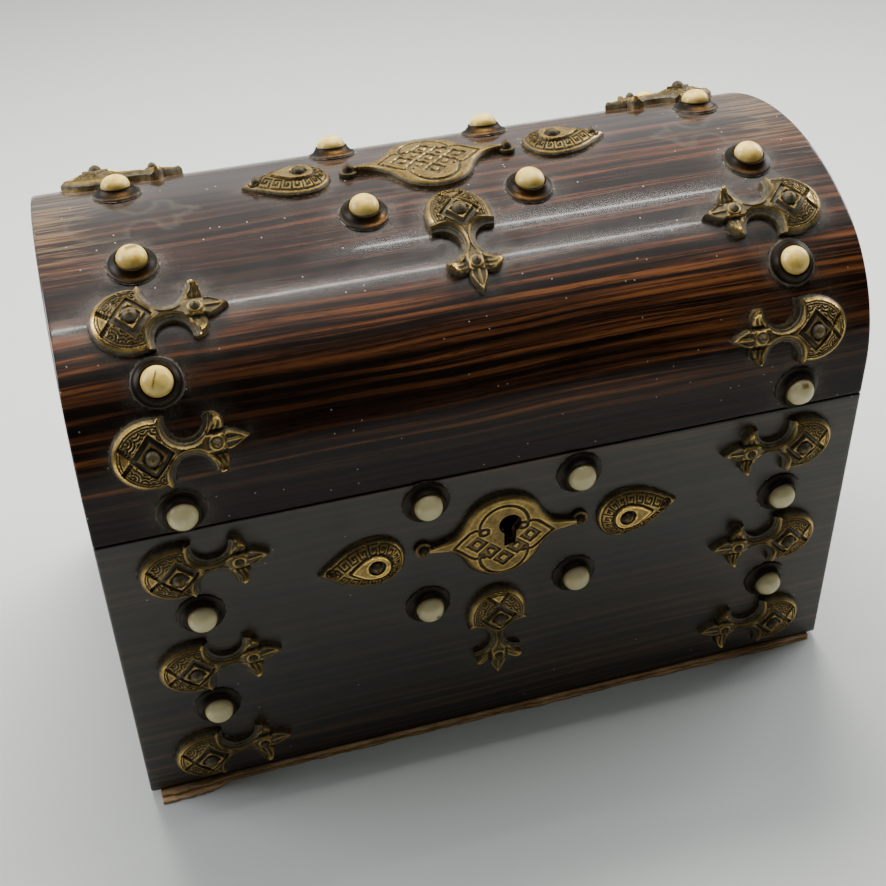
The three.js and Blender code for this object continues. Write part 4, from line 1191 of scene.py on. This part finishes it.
# Each of the two meshes below returns points, faces, face materials (0 sides, 1 ends, 2 inside), marks,
# grain places, and the outer and inner loops of its rim
def lidMesh():
    halfWidth, thick = boxShape["halfWidth"], boxShape["wall"]
    acrossX, insetX = roundedRun(2 * halfWidth, wood["edgeRound"], wood["roundSteps"])
    alongS, insetS = roundedRun(archLength, wood["rimRound"], wood["rimSteps"])
    gridX, gridS = np.meshgrid(acrossX - halfWidth, alongS, indexing="ij")
    inset = insetX[:, None] + insetS[None, :]
    outer = np.stack([gridX.ravel(), *archPoint(gridS.ravel(), -inset.ravel())], axis=1)
    marks = veneerMarks("lid", gridX.ravel(), gridS.ravel())
    rows, columns = gridX.shape
    faces = gridFaces(rows, columns, flip=True)
    kinds = [0] * len(faces)

    steps, start = wood["innerSteps"], len(outer)
    innerX, innerS = np.meshgrid(
        [thick - halfWidth, halfWidth - thick], np.linspace(0, archLength, steps), indexing="ij")
    inner = np.stack([innerX.ravel(), *archPoint(innerS.ravel(), -thick)], axis=1)
    inside = gridFaces(2, steps, start)
    innerFirst = [start + k for k in range(steps)]
    innerLast = [start + steps + k for k in range(steps)]
    faces += inside + [list(range(columns)), [(rows - 1) * columns + k for k in range(columns)][::-1]]
    faces += [innerFirst[::-1], innerLast]
    kinds += [2] * len(inside) + [1, 1, 2, 2]

    front = [i * columns for i in range(rows)]
    loopOuter = front + [i + columns - 1 for i in front][::-1]
    loopInner = [innerFirst[0], innerLast[0], innerLast[-1], innerFirst[-1]]
    grain = np.concatenate([
        np.stack([gridX.ravel(), gridS.ravel()], 1), np.stack([innerX.ravel(), innerS.ravel()], 1)])
    marks = np.concatenate([marks, np.zeros((len(inner), 3))])
    return np.concatenate([outer, inner]), faces, kinds, marks, grain, loopOuter, loopInner


# Fills the flat ring between an outer loop and an inner one of four corners
def rimFaces(points, loopOuter, loopInner, downward):
    mesh = bmesh.new()
    made = [mesh.verts.new(points[i]) for i in loopOuter]
    madeInner = [mesh.verts.new(points[i]) for i in loopInner]
    edges = [mesh.edges.new((made[i], made[(i + 1) % len(made)])) for i in range(len(made))]
    edges += [mesh.edges.new((madeInner[i], madeInner[(i + 1) % 4])) for i in range(4)]
    mesh.verts.index_update()
    bmesh.ops.triangle_fill(mesh, use_beauty=True, edges=edges, normal=(0, 0, -1 if downward else 1))
    order = loopOuter + loopInner
    faces = []
    for face in mesh.faces:
        ids = [order[vert.index] for vert in face.verts]
        if (face.normal.z < 0) != downward:
            ids.reverse()
        faces.append(ids)
    mesh.free()
    return faces


def carve(piece, cutters):
    for cutter in cutters:
        modifier = piece.modifiers.new("carve", "BOOLEAN")
        modifier.operation = "DIFFERENCE"
        modifier.solver = "EXACT"
        modifier.object = cutter
    graph = bpy.context.evaluated_depsgraph_get()
    carved = bpy.data.meshes.new_from_object(piece.evaluated_get(graph))
    piece.modifiers.clear()
    old, piece.data = piece.data, carved
    bpy.data.meshes.remove(old)
    for cutter in cutters:
        bpy.data.objects.remove(cutter)


# A block with the given outline (x, z), from near to far
def cutterBlock(shape, near, far):
    count = len(shape)
    mesh = bpy.data.meshes.new("cutter")
    faces = [list(range(count)), list(range(count, 2 * count))[::-1]]
    faces += [[(k + 1) % count, k, count + k, count + (k + 1) % count] for k in range(count)]
    mesh.from_pydata([(x * mm, y * mm, z * mm) for y in (near, far) for x, z in shape], [], faces)
    mesh.materials.append(insideWood)
    return addObject("cutter", mesh)


hinge = {"length": 32.0, "inset": 49.0, "leafWidth": 6.5, "leafThickness": 1.2, "gap": 0.3}


def hingeCutters(low, high):
    made = []
    halfLength = hinge["length"] / 2 + hinge["gap"]
    near = boxShape["halfDepth"] - hinge["leafWidth"] - hinge["gap"]
    for x in (hinge["inset"] - boxShape["halfWidth"], boxShape["halfWidth"] - hinge["inset"]):
        left, right = x - halfLength, x + halfLength
        made.append(cutterBlock(
            [(left, low), (right, low), (right, high), (left, high)], near, boxShape["halfDepth"] + 1))
    return made


# Closes the rim of one body's wood, lays its grain and cuts the hinge recesses
def woodPiece(body, veneer, made, cutters):
    points, faces, kinds, marks, grain, loopOuter, loopInner = made
    rim = rimFaces(points, loopOuter, loopInner, body == "lid")
    faces, kinds = faces + rim, kinds + [2] * len(rim)
    piece = makePiece(f"{body}_veneered", points, faces, body, [veneer, endVeneer, insideWood], kinds, marks, 30)
    mesh = piece.data
    loops = np.empty(len(mesh.loops), dtype=np.int32)
    mesh.loops.foreach_get("vertex_index", loops)
    # ends take their grain from front to back, everything else along the width
    onEnd = np.repeat(kinds, [len(face) for face in faces]) == 1
    uv = np.where(onEnd[:, None], points[loops][:, [1, 2]], grain[loops])
    mesh.uv_layers.new(name="grain").data.foreach_set("uv", (uv * mm).astype(np.float32).ravel())
    carve(piece, cutters)
    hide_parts(body)


recess = hinge["leafThickness"] + hinge["gap"]
woodPiece("lid", lidVeneer, lidMesh(), hingeCutters(boxShape["lidBottom"] - 1, boxShape["lidBottom"] + recess))
print("lid is veneered")


def caseMesh():
    halfWidth, halfDepth = boxShape["halfWidth"], boxShape["halfDepth"]
    low, high = boxShape["caseBottom"], boxShape["seamHeight"]
    radius = wood["edgeRound"]
    upZ, insetZ = roundedRun(high - low, wood["rimRound"], wood["rimSteps"])
    bends = np.radians(np.linspace(0, 90, wood["roundSteps"] + 1))[1:]

    # once round the box from the front's left end: place, outward direction and material, which
    # changes over in the middle of each rounded corner
    loop = []
    w, d = halfWidth - radius, halfDepth - radius
    centres = np.array([(w, -d), (w, d), (-w, d), (-w, -d)])
    for k, steps in enumerate((int(2 * halfWidth / wood["spacing"]), 12, 20, 12)):
        facing = math.radians(90 * k - 90)
        out = np.array([math.cos(facing), math.sin(facing)])
        for share in np.linspace(0, 1, steps)[min(k, 1):]:
            loop.append([*(centres[k - 1] * (1 - share) + centres[k] * share + radius * out), *out, k % 2])
        for angle in bends[:len(bends) - (k == 3)]:
            out = np.array([math.cos(facing + angle), math.sin(facing + angle)])
            loop.append([*(centres[k] + radius * out), *out, (k + (angle > 0.8)) % 2])
    loop = np.array(loop)
    count, rows = len(loop), len(upZ)
    flat = loop[None, :, :2] - loop[None, :, 2:4] * insetZ[:, None, None]
    outer = np.concatenate([flat, np.repeat((low + upZ)[:, None, None], count, axis=1)], axis=2).reshape(-1, 3)
    onFront = np.tile(loop[:, 3] < -0.5, rows)
    marks = veneerMarks("case", outer[:, 0], np.where(onFront, outer[:, 2] - high, -500.0))
    faces = ringFaces(rows, count)
    kinds = np.where(loop[:, 4] == np.roll(loop[:, 4], -1), loop[:, 4], 1).astype(int).tolist() * (rows - 1)

    # inside: four walls and the floor, then the underside
    w, d, start = halfWidth - boxShape["wall"], halfDepth - boxShape["wall"], len(outer)
    corners = ((-w, -d), (w, -d), (w, d), (-w, d))
    inner = np.array([(x, y, z) for z in (low + boxShape["floor"], high) for x, y in corners])
    for k in range(4):
        n = (k + 1) % 4
        faces.append([start + n, start + k, start + 4 + k, start + 4 + n])
    faces += [[start, start + 1, start + 2, start + 3], list(range(count))[::-1]]
    kinds += [2] * 6
    grain = np.concatenate([outer[:, [0, 2]], np.stack([inner[:, 0], inner[:, 1] + inner[:, 2]], 1)])
    marks = np.concatenate([marks, np.zeros((len(inner), 3))])
    loopOuter = [(rows - 1) * count + k for k in range(count)]
    return np.concatenate([outer, inner]), faces, kinds, marks, grain, loopOuter, [start + 4 + k for k in range(4)]


keyholeCutter = cutterBlock(
    keyhole + (0, boxShape["seamHeight"] - plate["depthBelow"]),
    -boxShape["halfDepth"] - 1, -boxShape["halfDepth"] + boxShape["wall"] + 1)
woodPiece("case", caseVeneer, caseMesh(), hingeCutters(
    boxShape["seamHeight"] - recess, boxShape["seamHeight"] + 1) + [keyholeCutter])
print("case is veneered")


# The torn sheet under the case: two plies that part along the front
sheet = {
    "endInset": 3.0, "backInset": 2.0, "frontOverhang": 1.15, "flapReach": 2.3, "flapLength": 22.0, "steps": 420,
    "plies": [(0.0, 0.8, 0.0, 1.0, 5), (1.15, 1.98, -0.35, 0.45, 9)],  # (bottom, top, reach, flap, seed)
}


def ply(bottom, top, reach, flapShare, seed):
    local = np.random.default_rng(seed)
    end = boxShape["halfWidth"] - sheet["endInset"]
    back = boxShape["halfDepth"] - sheet["backInset"]
    count = sheet["steps"]
    share = np.linspace(0, 1, count)
    ragged = sum(amount * np.interp(share * count / period, np.arange(count), local.uniform(-1, 1, count))
                 for amount, period in ((0.3, 26), (0.28, 9), (0.2, 3), (0.14, 1)))
    flap = flapShare * sheet["flapReach"] * smooth(sheet["flapLength"], sheet["flapLength"] * 0.6, 2 * end * share)
    overhang = sheet["frontOverhang"] + flap * (1 + 0.7 * ragged) + reach + 0.8 * ragged
    xs = -end + 2 * end * share
    front = np.stack([xs, -boxShape["halfDepth"] - np.clip(overhang, -0.4, 4.0)], axis=1)
    edge = np.concatenate([front, [(end, back), (-end, back)]])
    sag = np.concatenate([0.3 * ragged, [0, 0]])
    rings = [(0.0, bottom), (0.12, bottom + 0.2), (0.12, top - 0.25), (-0.1, top)]
    points, total = [], len(edge)
    for out, z in rings:
        shifted = edge.copy()
        shifted[:count, 1] -= out + local.uniform(-0.08, 0.08, count)
        points.append(np.column_stack([shifted, np.clip(z + sag, 0.0, 2.0)]))
    faces = ringFaces(len(rings), total)
    faces += [list(range(total))[::-1], [(len(rings) - 1) * total + i for i in range(total)]]
    return np.concatenate(points), faces


pliesMade = [ply(*values) for values in sheet["plies"]]
coverPoints = np.concatenate([points for points, _ in pliesMade])
offset = len(pliesMade[0][0])
coverFaces = pliesMade[0][1] + [[offset + index for index in face] for face in pliesMade[1][1]]
cover = makePiece("base_sheet_torn", coverPoints, coverFaces, "case", [hide], None, None, 45)
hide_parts("base_cover")

for name in ("hinge_left_case_leaf", "hinge_left_lid_leaf", "hinge_right_case_leaf", "hinge_right_lid_leaf"):
    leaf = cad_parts[name]
    leaf.data.materials.clear()
    leaf.data.materials.append(hingeMetal)
print("base sheet and hinges are finished")
